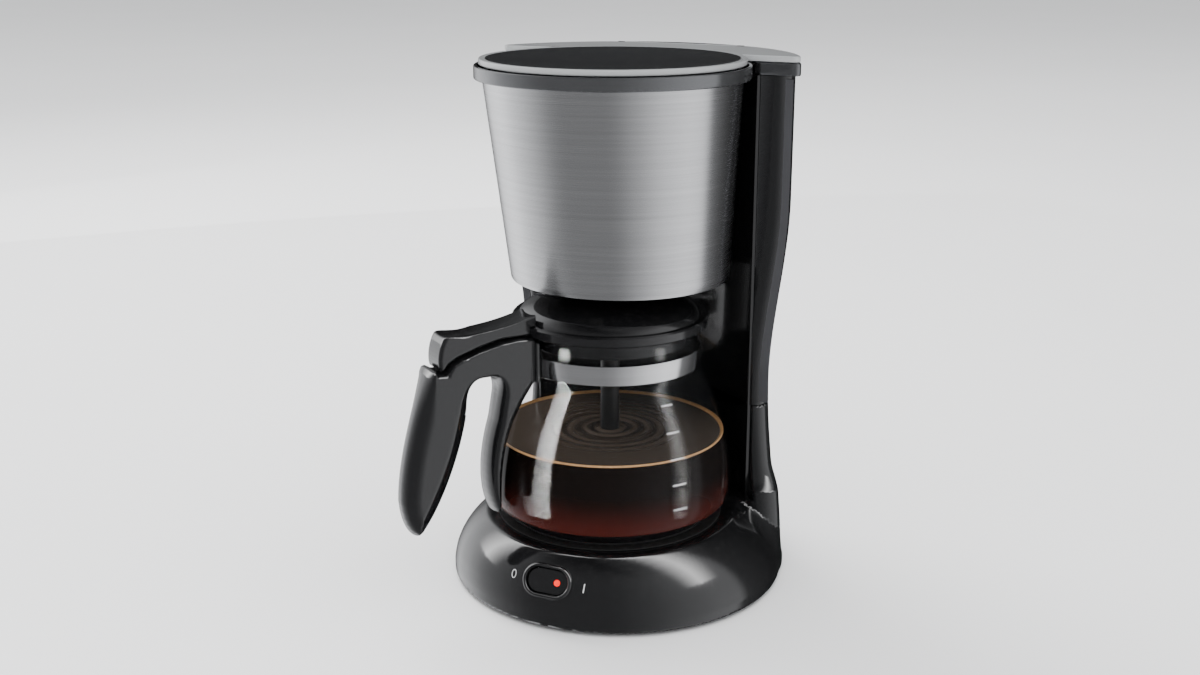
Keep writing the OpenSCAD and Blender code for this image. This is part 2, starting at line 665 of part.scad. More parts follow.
module drip_stem() color([0.15, 0.15, 0.15]) {
    translate([0, 0, stem_z]) cylinder(r = stem_r, h = stem_top - stem_z, $fn = 32);
    translate([0, 0, stem_z]) cylinder(r = 5.5, h = 1.4, $fn = 48);
    translate([0, 0, stem_top]) cylinder(r = stem_r + 1.5, h = 1.5, $fn = 32);
}
module drip_seal() color([0.7, 0.3, 0.2])
    ring(stem_r, seal_r, basket_z + drip_travel + 0.3, basket_z + drip_travel + 2.3);
spring_z0 = stem_z + 1.5;
spring_z1 = spider_z - 0.1;
spring_r = stem_r + 1.3;
// One coil of round wire, swept along a helix.
module drip_spring() color("silver") {
    n = 14 * spring_turns;
    m = 8;
    rise = spring_z1 - spring_z0 - 2 * spring_wire_r;
    points = [for (i = [0:n]) for (j = [0:m - 1])
        let (a = 360 * spring_turns * i / n, r = spring_r + spring_wire_r * cos(360 * j / m))
        [r * cos(a), r * sin(a),
            spring_z0 + spring_wire_r + rise * i / n + spring_wire_r * sin(360 * j / m)]];
    faces = concat(
        [[for (j = [0:m - 1]) j]],
        [for (i = [0:n - 1]) for (j = [0:m - 1])
            [i * m + j, (i + 1) * m + j, (i + 1) * m + (j + 1) % m, i * m + (j + 1) % m]],
        [[for (j = [m - 1:-1:0]) n * m + j]]);
    polyhedron(points, faces);
}

// ---- switch ----
function skirt_at(z, i = 0) = i >= len(skirt_points) - 2 || skirt_points[i + 1][1] >= z
    ? lerp(skirt_points[i][0], skirt_points[i + 1][0],
        (z - skirt_points[i][1]) / (skirt_points[i + 1][1] - skirt_points[i][1]))
    : skirt_at(z, i + 1);
function skirt_front(z) = body_back - skirt_lean * (z - foot_edge_h) - skirt_at(z);
switch_tilt = atan2(skirt_front(switch_z + 6) - skirt_front(switch_z - 6), 12);
// Local frame of the switch: +Z out of the skirt's face, +Y up along it.
module switch_place() translate([0, skirt_front(switch_z), switch_z])
    rotate([90 - switch_tilt, 0, 0]) children();
module oval(w, h, t) {
    translate([-(w - h) / 2, 0, 0]) cylinder(r = h / 2, h = t, $fn = 48);
    translate([(w - h) / 2, 0, 0]) cylinder(r = h / 2, h = t, $fn = 48);
    translate([-(w - h) / 2, -h / 2, 0]) cube([w - h, h, t]);
}
bezel_rise = 1.2;
bezel_sink = 1.6;
rocker_gap = 0.8;
module switch_bezel() color([0.1, 0.1, 0.105]) switch_place() difference() {
    union() {
        translate([0, 0, -bezel_sink]) oval(switch_w, switch_h, bezel_sink + bezel_rise);
        translate([0, 0, -9]) oval(switch_w - 3 - 2 * fit, switch_h - 3 - 2 * fit, 9);
    }
    translate([0, 0, -10]) oval(rocker_w + 2 * rocker_gap, rocker_h + 2 * rocker_gap, 20);
    trunnion(trunnion_r + run, switch_h);
}
module switch_body() color([0.2, 0.2, 0.2]) switch_place() difference() {
    translate([0, 0, -21]) oval(switch_w - 6, switch_h - 6, 12);
    translate([0, 0, -14]) oval(rocker_w - 6, rocker_h - 3, 10);
}
rocker_pivot = -5;
trunnion_r = 1.2;
// The rocker's two pins, one above and one below, on the axis that it rocks about.
module trunnion(r, length) translate([0, 0, rocker_pivot]) rotate([90, 0, 0])
    cylinder(r = r, h = length, center = true, $fn = 32);
module rocker_place() switch_place() translate([0, 0, rocker_pivot]) rotate([0, rocker_deg, 0]) children();
module switch_rocker() color([0.07, 0.07, 0.075]) {
    rocker_place() difference() {
        translate([0, 0, -2]) oval(rocker_w, rocker_h, 2 - rocker_pivot + 0.6);
        translate([6, 0, 0]) cylinder(r = 2, h = 20, $fn = 32);
    }
    switch_place() trunnion(trunnion_r, switch_h - 3.6);
}
module switch_lamp() color([0.9, 0.1, 0.1]) rocker_place() translate([6, 0, 0.2])
    cylinder(r = 2 - 0.05, h = 0.6 - rocker_pivot, $fn = 32);

// ---- lid ----
module lid_outline(r_front, r_back, z0, z1) {
    at_drum() translate([0, 0, z0]) cylinder(r = r_front, h = z1 - z0, $fn = 96);
    intersection() {
        at_body() translate([0, 0, z0]) cylinder(r = r_back, h = z1 - z0, $fn = 96);
        behind(wing_y);
        in_front(hinge_y);
    }
}
dish_ball_r = (dish_r * dish_r + dish_d * dish_d) / (2 * dish_d);
module lid_cover() color([0.5, 0.5, 0.51]) difference() {
    union() {
        difference() {
            lid_outline(lid_r, collar_r - 0.5, lid_z, lid_top);
            translate([0, 0, -1]) intersection() {
                lid_outline(lid_r - 2 - 1, collar_r - 3, lid_z, lid_top - lid_skin + 1);
                difference() {
                    translate([0, 0, lid_z]) cylinder(r = big, h = big);
                    at_drum() cylinder(r = dish_r + 1, h = big, $fn = 96);
                }
                in_front(hinge_y - 4);
            }
        }
        intersection() {
            at_drum() translate([0, 0, lid_top - dish_d - lid_skin])
                cylinder(r = dish_r, h = dish_d + lid_skin, $fn = 96);
            at_drum() translate([0, 0, lid_top - lid_skin + dish_ball_r - dish_d])
                sphere(r = dish_ball_r, $fn = 180);
        }
        translate([-hinge_half + fit, hinge_y, hinge_z]) rotate([0, 90, 0])
            cylinder(r = barrel_r, h = 2 * (hinge_half - fit), $fn = 32);
    }
    at_drum() translate([0, 0, lid_top + dish_ball_r - dish_d]) sphere(r = dish_ball_r, $fn = 180);
    difference() {
        at_drum() translate([0, 0, lid_z - 10]) cylinder(r = dish_r - 1, h = 12, $fn = 96);
        at_drum() translate([0, 0, lid_top - lid_skin + dish_ball_r - dish_d])
            sphere(r = dish_ball_r, $fn = 180);
    }
    for (s = [-1, 1])
        translate([s * (hinge_half + ear_t / 2) - ear_t / 2 - gap, hinge_y - ear_r - gap, lid_z - 5])
            cube([ear_t + 2 * gap, 20, 20]);
    translate([-hinge_half - 1, hinge_y, hinge_z]) rotate([0, 90, 0])
        cylinder(r = hinge_pin_r + run, h = 2 * hinge_half + 2, $fn = 32);
}
module lid_inner() color([0.3, 0.3, 0.31]) at_drum() {
    arc_ring(dish_r - 6, dish_r - 4, lid_z - 4, lid_top - lid_skin - 0.9, 110);
}
module lid_screws() color("silver") at_drum() for (a = [-60, 60]) rotate([0, 0, a - 90])
    translate([dish_r - 9, 0, lid_z - 3]) cylinder(r = 2, h = 2, $fn = 24);

// ---- jug ----
module jug_glass() color([0.85, 0.9, 0.92, 0.35]) {
    corner = arc([jug_r - jug_corner, jug_z + jug_corner], jug_corner, -90, 0, 6);
    corner_in = arc([jug_r - jug_corner, jug_z + jug_corner], jug_corner - glass_t, 0, -90, 6);
    top = jug_z + glass_h;
    outside = concat([[0, jug_z]], corner, [for (i = [1:len(glass_curve) - 1]) glass_curve[i]],
        [[neck_r, top - 3], [neck_r + 1.5, top]]);
    inside = concat([[neck_r - glass_t + 1, top], [neck_r - glass_t, top - 3]],
        [for (i = [len(glass_curve) - 1:-1:1]) glass_curve[i] - [glass_t, 0]],
        corner_in, [[0, jug_z + glass_t]]);
    rotate_extrude($fn = 96) polygon(concat(outside, inside));
}
band_screw_r = 1.5;
module jug_band() color("silver") difference() {
    ring(neck_r + fit, band_r, band_z, band_z + band_h);
    band_screw_place() cylinder(r = band_screw_r, h = 20, $fn = 24);
}
module band_screw_place() handle_place() translate([neck_r + fit + 0.4, 0, band_z + band_h / 2])
    rotate([0, 90, 0]) children();
module handle_place() rotate([0, 0, -90 - handle_turn]) children();
// Extrudes an outline drawn as [distance from the jug's axis, height] to a width, on the handle's plane.
module slab(points, w) handle_place() translate([0, w / 2, 0])
    rotate([90, 0, 0]) linear_extrude(w) polygon(points);
grip_u = handle_reach;
handle_outline = concat(
    [[band_r + fit, band_z + 24.5], [80, band_z + 25], [94, band_z + 22], [107, band_z + 18],
     [112.5, band_z + 15.5], [116, band_z + 10.4], [121.3, band_z + 10.9], [122.5, band_z + 13],
     [125, band_z + 12.2]],
    curve([[127, band_z + 9], [134, band_z - 12], [grip_u - 1, band_z - 42], [grip_u, band_z - 67]], 8),
    curve([[grip_u, band_z - 69], [grip_u - 1, band_z - 84],
        [grip_u - 6, band_z - 92], [grip_u - 10, band_z - 91]], 5),
    curve([[grip_u - 13, band_z - 89], [120, band_z - 72], [107, band_z - 44], [101.5, band_z - 16]], 8),
    curve([[101, band_z - 8], [100, band_z + 0], [97, band_z + 2.5], [92, band_z + 2.5]], 4),
    curve([[87, band_z + 2.5], [82, band_z + 2], [79, band_z - 3], [80, band_z - 10]], 4),
    curve([[83, band_z - 26], [91, band_z - 50], [91, band_z - 72], [85, band_z - 85]], 8),
    [[81.5, band_z - 86]],
    curve([[80.5, band_z - 80], [81, band_z - 52], [77, band_z - 33], [66, band_z - 14]], 8),
    [[band_r + fit, band_z - 3]]);
module jug_handle() color([0.06, 0.06, 0.065]) difference() {
    union() {
        slab(handle_outline, handle_w);
        intersection() {
            ring(band_r + fit, band_r + 3, band_z - 3, band_z + 22);
            handle_place() translate([0, -handle_w / 2 - 3, 0]) cube([big, handle_w + 6, big]);
        }
    }
    slab([[58, band_z + 14], [72, band_z + 10], [lever_pin_u + 6, band_z + 6],
        [lever_pin_u + 18, band_z + 30], [58, band_z + 40]], tongue_w + 2 * gap);
    handle_place() translate([lever_pin_u, handle_w / 2 + 1, lever_pin_z]) rotate([90, 0, 0])
        cylinder(r = lever_pin_r, h = handle_w + 2, $fn = 32);
    inlay(fit / 2, insert_depth + fit / 2, handle_w);
    band_screw_place() cylinder(r = band_screw_r, h = 14, $fn = 24);
}
insert_depth = 2.2;
// The strip let into both sides of the grip, from a depth under the side out to a height above it.
module inlay(grow, depth, rise) {
    strip = concat(
        curve([[grip_u - 14 - grow, band_z - 84 - grow], [119 - grow, band_z - 70],
            [107.5 - grow, band_z - 44], [103 - grow, band_z - 18 + grow]], 8),
        curve([[104.5 + grow, band_z - 18 + grow], [109 + grow, band_z - 44],
            [120.5 + grow, band_z - 69], [grip_u - 12 + grow, band_z - 83 - grow]], 8));
    for (s = [-1, 1]) handle_place() translate([0, s * (handle_w / 2 - depth / 2 + rise / 2), 0])
        rotate([90, 0, 0]) linear_extrude(depth + rise, center = true) polygon(strip);
}
module handle_insert() color([0.25, 0.25, 0.26]) inlay(0, insert_depth, fit);
module band_screw() color("silver") band_screw_place()
    cylinder(r = band_screw_r - fit / 2, h = 10, $fn = 24);
dome_r = rim_r - 4;
hub_r = 16;
module jug_lid() color([0.05, 0.05, 0.055]) difference() {
    union() {
        ring(neck_r - glass_t - 6, rim_r, rim_z, rim_z + rim_h);
        ring(skirt_r - 2, skirt_r, rim_z - skirt_depth, rim_z + eps);
        rotate_extrude($fn = 96) polygon(concat(
            curve([[dome_r, rim_z + rim_h - eps], [dome_r - 4, rim_z + rim_h + 9],
                [dome_r - 26, dome_top], [0, dome_top]]),
            curve([[0, dome_top - 2.4], [dome_r - 27, dome_top - 2.4],
                [dome_r - 7, rim_z + rim_h + 6], [dome_r - 3, rim_z + rim_h - 3]])));
    }
    for (a = [0:60:300]) rotate([0, 0, a]) translate([10, 0, rim_z]) cylinder(r = 2, h = 40, $fn = 24);
}
brew_z = jug_z + 50;
module brew_tube() color([0.05, 0.05, 0.055]) rotate_extrude($fn = 64) polygon([
    [brew_r, brew_z], [brew_r, rim_z], [hub_r, dome_top - 6], [hub_r, dome_top - 3.4],
    [hub_r - 1.8, dome_top - 3.4], [hub_r - 1.8, dome_top - 6], [brew_r - 1.5, rim_z],
    [brew_r - 1.5, brew_z]]);
lever_outline = [
    [54, rim_z + 2], [54, rim_z + 15], [56, rim_z + 18], [60, rim_z + 18.5], [69, rim_z + 14.5],
    [81, rim_z + 11.5], [93, rim_z + 9], [104, rim_z + 8.5], [112, rim_z + 10.5], [115, rim_z + 9.5],
    [120.5, rim_z - 6], [120, rim_z - 12], [117, rim_z - 13], [113.5, rim_z - 8.5],
    [108.5, rim_z - 6], [94, rim_z - 1.6], [80, rim_z + 1.4], [66, rim_z + 1.2]];
module thumb_lever() color([0.12, 0.12, 0.125]) difference() {
    union() {
        difference() {
            slab(lever_outline, lever_w);
            ring(0, rim_r + fit, rim_z - 1, rim_z + rim_h + fit);
            rotate_extrude($fn = 96) translate([0, rim_z]) square([dome_r + fit, 40]);
        }
        slab([[74, rim_z + 4], [110, rim_z - 1], [108, lever_pin_z - 4], [99, lever_pin_z - 4],
            [94, rim_z - 4], [74, rim_z + 1]], tongue_w);
    }
    handle_place() translate([lever_pin_u, handle_w, lever_pin_z]) rotate([90, 0, 0])
        cylinder(r = lever_pin_r + run, h = 2 * handle_w, $fn = 32);
}
module lever_pin() color("silver") handle_place() translate([lever_pin_u, handle_w / 2 - fit, lever_pin_z])
    rotate([90, 0, 0]) cylinder(r = lever_pin_r, h = handle_w - 2 * fit, $fn = 32);

base_housing();
base_plate();
base_screws();
rubber_feet();
cord_gland();
hot_plate();
plate_seal();
heating_element();
water_tube();
element_clamp();
thermostat();
thermal_fuses();
terminal_block();
inlet_hose();
check_valve();
outlet_hose();
hose_clamps();
riser_tube();
spray_arm();
tower_shell();
recess_panel();
water_tank();
tank_grommets();
level_window();
tower_collar();
lid_hinge_pins();
drum_shell();
steel_sleeve();
drum_collar();
drum_screws();
filter_basket();
drip_spring();
drip_stem();
drip_seal();
switch_bezel();
switch_body();
switch_rocker();
switch_lamp();
lid_cover();
lid_inner();
lid_screws();
jug_glass();
jug_band();
band_screw();
jug_handle();
handle_insert();
jug_lid();
brew_tube();
thumb_lever();
lever_pin();
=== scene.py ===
"""Drip coffee maker: finished surfaces, materials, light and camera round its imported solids.

Lengths inside the making functions are in millimetres, and become metres when a mesh is made.
"""

import json
import math

import bpy
import numpy as np
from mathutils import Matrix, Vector


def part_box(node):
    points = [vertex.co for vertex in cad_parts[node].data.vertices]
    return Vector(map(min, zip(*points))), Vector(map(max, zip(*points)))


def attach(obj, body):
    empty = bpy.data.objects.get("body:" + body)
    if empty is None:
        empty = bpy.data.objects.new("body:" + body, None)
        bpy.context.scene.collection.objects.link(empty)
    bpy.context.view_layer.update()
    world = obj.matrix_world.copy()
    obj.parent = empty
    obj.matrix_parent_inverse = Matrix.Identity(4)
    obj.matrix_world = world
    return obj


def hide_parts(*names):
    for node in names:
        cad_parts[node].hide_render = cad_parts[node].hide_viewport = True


bl_info = {
    "name": "Drip Coffee Maker",
    "version": (1, 0, 0),
    "blender": (4, 5, 0),
    "location": "3D View > Sidebar > Coffee Maker",
    "description": "Builds the pieces and finishes of a drip coffee maker round its solids",
    "category": "Add Mesh",
}

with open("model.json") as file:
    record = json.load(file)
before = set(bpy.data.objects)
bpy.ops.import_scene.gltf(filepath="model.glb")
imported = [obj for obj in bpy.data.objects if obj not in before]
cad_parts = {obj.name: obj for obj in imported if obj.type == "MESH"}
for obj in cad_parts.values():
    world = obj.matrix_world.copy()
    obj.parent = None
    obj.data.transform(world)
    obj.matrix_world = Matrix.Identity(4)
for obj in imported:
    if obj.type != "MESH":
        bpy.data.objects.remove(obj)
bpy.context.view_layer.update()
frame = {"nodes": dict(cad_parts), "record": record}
MM = 0.001
TAU = 2 * math.pi

# Lengths in millimetres that several pieces share, besides the ones in the settings below.
LID_TOP, LID_LOW, LID_SKIN = 333.05, 329.35, 1.8
DISH_RADIUS, DISH_DEPTH = 77.0, 4.5
HINGE_Y, HINGE_Z, PIN_BARREL = 111.0, 331.05, 2.3
COLLAR_HEIGHT, DRUM_COLLAR_RADIUS = 8.0, 83.5
RECESS_WALL = 1.8
JUG_Z, JUG_CORNER, NECK_Z, GLASS_TOP = 47.75, 14.0, 141.75, 169.25
BAND_Z, BAND_HEIGHT = 145.25, 12.0
RIM_Z, RIM_R, DOME_TOP = 169.6, 61.5, 191.1
SWITCH_Y, SWITCH_Z, SWITCH_TILT = -89.83, 30.0, math.radians(25.04)
GLASS_IOR, COFFEE_IOR, PLASTIC_IOR = 1.47, 1.34, 1.5

# What gloss mirrors: the brightness of the surroundings at angles from the right, in degrees.
WALLS = ((-180, 1.75), (-171, 1.35), (-155, 0.92), (-141, 0.58), (-128, 0.34), (-116, 0.27),
         (-72, 0.27), (-61, 0.33), (-39, 0.62), (-17, 1.1), (8, 1.5), (26, 1.4), (33, 0.24),
         (52, 0.1), (70, 0.02), (120, 0.02), (134, 0.3), (150, 1.6), (168, 2.0), (180, 1.75))
# Panels that only some pieces show: name, angle from the right, angle up, width, height, watts,
# the collection that shows it, and whether it is brightest along one side or along its middle.
PANELS = (("glass left", -137, 8, 0.8, 1.9, 800, "glass", "side"),
          ("glass right", 3, 8, 0.6, 1.9, 110, "glass", "middle"),
          ("base front", 1, 52, 0.9, 1.9, 66, "mouldings", "middle"),
          ("base left", 186, 45, 1.0, 2.2, 62, "mouldings", "middle"))
PANEL_DISTANCE, PANEL_AIM = 1.3, (0, 0, 0.15)
# The pieces that the lights of a collection fall on.
RECEIVERS = {
    "glass": ("jug_glass_body",),
    "mouldings": ("base_housing_skin", "tower_shell_skin", "recess_panel_skin",
                  "jug_handle_skin", "thumb_lever_skin", "switch_bezel_skin", "switch_rocker"),
    "ground": ("floor",)}


def node_size(node, corner, axis):
    """One coordinate of a solid's lowest (0) or highest (1) corner, in metres."""
    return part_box(node)[corner][axis]


# ---------------------------------------------------------------- settings


class BodySizes(bpy.types.PropertyGroup):
    """Sizes of the base, the tower and its recess."""

    base_radius: bpy.props.FloatProperty(
        name="Base radius", description="Radius of the round base on the table",
        default=0.1075, unit="LENGTH")
    base_height: bpy.props.FloatProperty(
        name="Base height", description="Height of the flat deck round the hot plate",
        default=0.0455, unit="LENGTH")
    deck_radius: bpy.props.FloatProperty(
        name="Deck radius", description="Radius of the flat deck", default=0.0785, unit="LENGTH")
    back: bpy.props.FloatProperty(
        name="Body offset", description="Distance from the jug's axis back to the body's axis",
        default=0.012, unit="LENGTH")
    waist_radius: bpy.props.FloatProperty(
        name="Waist radius", description="Radius of the tower at its waist",
        default=0.0993, unit="LENGTH")
    waist_height: bpy.props.FloatProperty(
        name="Waist height", description="Height of the tower's waist",
        default=0.125, unit="LENGTH")
    tower_radius: bpy.props.FloatProperty(
        name="Tower radius", description="Radius of the tower below its collar",
        default=0.1085, unit="LENGTH")
    shoulder_height: bpy.props.FloatProperty(
        name="Shoulder height", description="Height at which the tower reaches its full radius",
        default=0.245, unit="LENGTH")
    seam_height: bpy.props.FloatProperty(
        name="Seam height", description="Height of the seam between base and tower",
        default=0.109, unit="LENGTH")
    tower_height: bpy.props.FloatProperty(
        name="Tower height", description="Height of the tower shell's top edge",
        default=0.321, unit="LENGTH")
    wing_front: bpy.props.FloatProperty(
        name="Wing front", description="Distance from the jug's axis back to the wings' front",
        default=0.050, unit="LENGTH")
    wing_corner: bpy.props.FloatProperty(
        name="Wing corner", description="Radius of the wings' outer front corner",
        default=0.0105, unit="LENGTH")
    recess_radius: bpy.props.FloatProperty(
        name="Recess radius", description="Radius of the recess that the jug stands in",
        default=0.0997, unit="LENGTH")
    recess_back: bpy.props.FloatProperty(
        name="Recess rear", description="Distance from the jug's axis back to the recess's rear",
        default=0.084, unit="LENGTH")
    collar_radius: bpy.props.FloatProperty(
        name="Collar radius", description="Radius of the collar round the top",
        default=0.110, unit="LENGTH")


class DrumSizes(bpy.types.PropertyGroup):
    """Sizes of the leaning steel drum."""

    top_radius: bpy.props.FloatProperty(
        name="Top radius", description="Outer radius of the sleeve at the top",
        default=0.0785, unit="LENGTH")
    bottom_radius: bpy.props.FloatProperty(
        name="Bottom radius", description="Outer radius of the sleeve at the bottom",
        default=0.0687, unit="LENGTH")
    bottom: bpy.props.FloatProperty(
        name="Bottom height", description="Height of the drum's bottom edge",
        default=node_size("steel_sleeve", 0, 2), unit="LENGTH")
    top_back: bpy.props.FloatProperty(
        name="Top offset", description="Drum centre's offset behind the jug's axis, at the top",
        default=0.003, unit="LENGTH")
    bottom_back: bpy.props.FloatProperty(
        name="Bottom offset", description="The same offset at the bottom",
        default=0.015, unit="LENGTH")
    half_angle: bpy.props.FloatProperty(
        name="Sleeve half angle", description="Half of the angle that the sleeve covers",
        default=math.radians(122), subtype="ANGLE")


class JugSizes(bpy.types.PropertyGroup):
    """Sizes of the jug, its handle and the coffee in it."""

    radius: bpy.props.FloatProperty(
        name="Jug radius", description="Radius of the glass at its widest",
        default=node_size("jug_glass", 1, 0), unit="LENGTH")
    neck_radius: bpy.props.FloatProperty(
        name="Neck radius", description="Outer radius of the glass neck",
        default=0.0565, unit="LENGTH")
    glass: bpy.props.FloatProperty(
        name="Glass thickness", description="Thickness of the glass",
        default=0.0022, unit="LENGTH")
    level: bpy.props.FloatProperty(
        name="Coffee level", description="Height of the coffee's surface above the table",
        default=0.0992, unit="LENGTH")
    handle_turn: bpy.props.FloatProperty(
        name="Handle turn", description="Angle of the handle from the front towards the left",
        default=math.radians(35.4), subtype="ANGLE")
    low_mark: bpy.props.FloatProperty(
        name="Lowest mark", description="Height of the lowest stroke on the glass",
        default=0.07, unit="LENGTH")
    high_mark: bpy.props.FloatProperty(
        name="Highest mark", description="Height of the highest stroke on the glass",
        default=0.1316, unit="LENGTH")
    mark_turn: bpy.props.FloatProperty(
        name="Mark turn", description="Angle of the strokes round the jug from the right",
        default=math.radians(-32.2), subtype="ANGLE")


class Finishes(bpy.types.PropertyGroup):
    """Colours of the finishes."""

    black: bpy.props.FloatVectorProperty(
        name="Black plastic", description="Colour of the glossy black mouldings",
        default=(0.007, 0.0071, 0.0077), subtype="COLOR")
    grey: bpy.props.FloatVectorProperty(
        name="Grey plastic", description="Colour of the collar and trim",
        default=(0.13, 0.132, 0.137), subtype="COLOR")
    lid: bpy.props.FloatVectorProperty(
        name="Lid", description="Colour of the lid's top", default=(0.44, 0.45, 0.455),
        subtype="COLOR")
    steel: bpy.props.FloatVectorProperty(
        name="Steel", description="Colour of the brushed steel", default=(0.6, 0.6, 0.61),
        subtype="COLOR")
    # Painted light: the red-brown that the coffee shows near the glass's foot, where light shines
    # through it.
    coffee: bpy.props.FloatVectorProperty(
        name="Coffee", description="Colour of the coffee near the glass's foot",
        default=(0.06, 0.009, 0.006), subtype="COLOR")
    floor: bpy.props.FloatVectorProperty(
        name="Floor", description="Colour of the floor and backdrop",
        default=(0.9, 0.9, 0.905), subtype="COLOR")


class StageSettings(bpy.types.PropertyGroup):
    """Camera and light."""

    camera_place: bpy.props.FloatVectorProperty(
        name="Camera place", description="Where the camera stands",
        default=(0.3622, -0.791, 0.4105), subtype="TRANSLATION", unit="LENGTH")
    camera_down: bpy.props.FloatProperty(
        name="Camera tilt", description="Angle that the camera looks down by",
        default=math.radians(16.13), subtype="ANGLE")
    camera_left: bpy.props.FloatProperty(
        name="Camera turn", description="Angle that the camera is turned left of the jug's axis",
        default=math.radians(0.42), subtype="ANGLE")
    lens: bpy.props.FloatProperty(
        name="Lens", description="Focal length in millimetres on a 36 mm sensor", default=43.1)
    light: bpy.props.FloatProperty(
        name="Light", description="Strength of all the lights", default=1.0)


def sizes(group):
    """A settings group of the scene: body, drum, jug, finishes or stage."""
    return getattr(bpy.context.scene, "coffee_" + group)


def mm(metres):
    """A length of the settings, in millimetres."""
    return metres / MM


# ---------------------------------------------------------------- curves


def lerp(a, b, t):
    """The value a share t of the way from a to b."""
    return a + (b - a) * t


def ease(t):
    """A share from 0 to 1 that starts and ends gently, and stays there outside."""
    t = np.clip(t, 0, 1)
    return t * t * (3 - 2 * t)


def bezier(points, count):
    """Points along a cubic with four control points."""
    t = np.linspace(0, 1, count + 1)[:, None]
    p = np.array(points, float)
    return ((1 - t) ** 3 * p[0] + 3 * t * (1 - t) ** 2 * p[1]
            + 3 * t ** 2 * (1 - t) * p[2] + t ** 3 * p[3])


def chain(*parts):
    """Joins curves and lists of points, dropping points that repeat."""
    out = []
    for part in parts:
        for p in part:
            if not out or math.dist(out[-1], p) > 1e-4:
                out.append((float(p[0]), float(p[1])))
    return out


def soften(points, radius, steps=4):
    """Rounds the corners of a closed outline. radius is one number, or one for each corner."""
    n = len(points)
    radii = [radius] * n if isinstance(radius, (int, float)) else radius
    out = []
    for i in range(n):
        p = Vector(points[i])
        before, after = Vector(points[i - 1]) - p, Vector(points[(i + 1) % n]) - p
        half = before.angle(after) / 2
        if radii[i] <= 0 or half > math.radians(88):
            out.append((p.x, p.y))
            continue
        reach = min(radii[i] / math.tan(half), 0.49 * before.length, 0.49 * after.length)
        a, b = p + before.normalized() * reach, p + after.normalized() * reach
        for k in range(steps + 1):
            t = k / steps
            q = (1 - t) ** 2 * a + 2 * t * (1 - t) * p + t ** 2 * b
            out.append((q.x, q.y))
    return out


def body_radius(z):
    """The round body's radius at a height: base, waist and tower in one line."""
    s = sizes("body")
    waist, low = mm(s.waist_radius), mm(s.base_radius) - 0.6
    below = lerp(low, waist, ease(z / mm(s.waist_height)))
    span = mm(s.shoulder_height) - mm(s.waist_height)
    above = lerp(waist, mm(s.tower_radius), ease((z - mm(s.waist_height)) / span))
    return np.where(z < mm(s.waist_height), below, above)


def recess_centre():
    """How far behind the jug's axis the recess's own axis stands."""
    s = sizes("body")
    return mm(s.recess_back) - mm(s.recess_radius)


def drum_share(z):
    """How far up the drum a height is, from 0 to 1."""
    s = sizes("drum")
    return (z - mm(s.bottom)) / (mm(sizes("body").tower_height) - mm(s.bottom))


def drum_radius(z):
    """The sleeve's outer radius at a height."""
    s = sizes("drum")
    return lerp(mm(s.bottom_radius), mm(s.top_radius), drum_share(z))


def drum_back(z):
    """How far behind the jug's axis the leaning drum's centre is at a height."""
    s = sizes("drum")
    return lerp(mm(s.bottom_back), mm(s.top_back), drum_share(z))


# ---------------------------------------------------------------- meshes


def face_outward(mesh):
    """Turns a closed mesh's faces over where they look inward."""
    if len(mesh.loops) != 2 * len(mesh.edges):
        return
    mesh.calc_loop_triangles()
    points = np.zeros(len(mesh.vertices) * 3)
    mesh.vertices.foreach_get("co", points)
    corners = np.zeros(len(mesh.loop_triangles) * 3, int)
    mesh.loop_triangles.foreach_get("vertices", corners)
    a, b, c = points.reshape(-1, 3)[corners.reshape(-1, 3)].transpose(1, 0, 2)
    if np.sum(a * np.cross(b, c)) < 0:
        mesh.flip_normals()


def make_object(name, verts, faces, sharp=40, normals=None):
    """A smooth-shaded object from points in millimetres."""
    mesh = bpy.data.meshes.new(name)
    mesh.from_pydata([tuple(float(c) * MM for c in v) for v in verts], [], faces)
    mesh.validate()
    face_outward(mesh)
    mesh.shade_smooth()
    if normals is None:
        mesh.set_sharp_from_angle(angle=math.radians(sharp))
    else:
        mesh.normals_split_custom_set_from_vertices(normals)
    obj = bpy.data.objects.new(name, mesh)
    bpy.context.scene.collection.objects.link(obj)
    return obj


def piece(obj, body, material, replaces=()):
    """Rides a piece on its body, gives it its material and hides the solids that it stands for."""
    obj.data.materials.clear()
    obj.data.materials.append(material)
    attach(obj, body)
    if replaces:
        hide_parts(*replaces)
    return obj


def joined(*meshes):
    """One (points, faces) pair from several."""
    verts, faces = [], []
    for v, f in meshes:
        start = len(verts)
        verts += [tuple(p) for p in v]
        faces += [tuple(start + i for i in q) for q in f]
    return verts, faces


def loft(rings, caps=False):
    """Faces between successive closed rings of the same number of points."""
    n = len(rings[0])
    verts = [tuple(p) for ring in rings for p in ring]
    faces = []
    for i in range(len(rings) - 1):
        for j in range(n):
            k = (j + 1) % n
            faces.append((i * n + j, i * n + k, (i + 1) * n + k, (i + 1) * n + j))
    if caps:
        faces.append(tuple(range(n - 1, -1, -1)))
        faces.append(tuple(range((len(rings) - 1) * n, len(rings) * n)))
    return verts, faces


def turned(profile, centre=lambda z: 0.0, start=0.0, end=TAU, count=160):
    """Turns a closed outline of (radius, height) round a centre line that may lean back."""
    whole = abs(end - start - TAU) < 1e-6
    angles = [start + (end - start) * i / count for i in range(count if whole else count + 1)]
    rings = []
    for a in angles:
        rings.append([(r * math.cos(a), centre(z) + r * math.sin(a), z) for r, z in profile])
    if whole:
        rings.append(rings[0])
        verts, faces = loft(rings)
        last = len(verts) - len(profile)
        faces = [tuple(i - last if i >= last else i for i in f) for f in faces]
        return drop_doubles(verts[:last], faces)
    return loft(rings, caps=True)


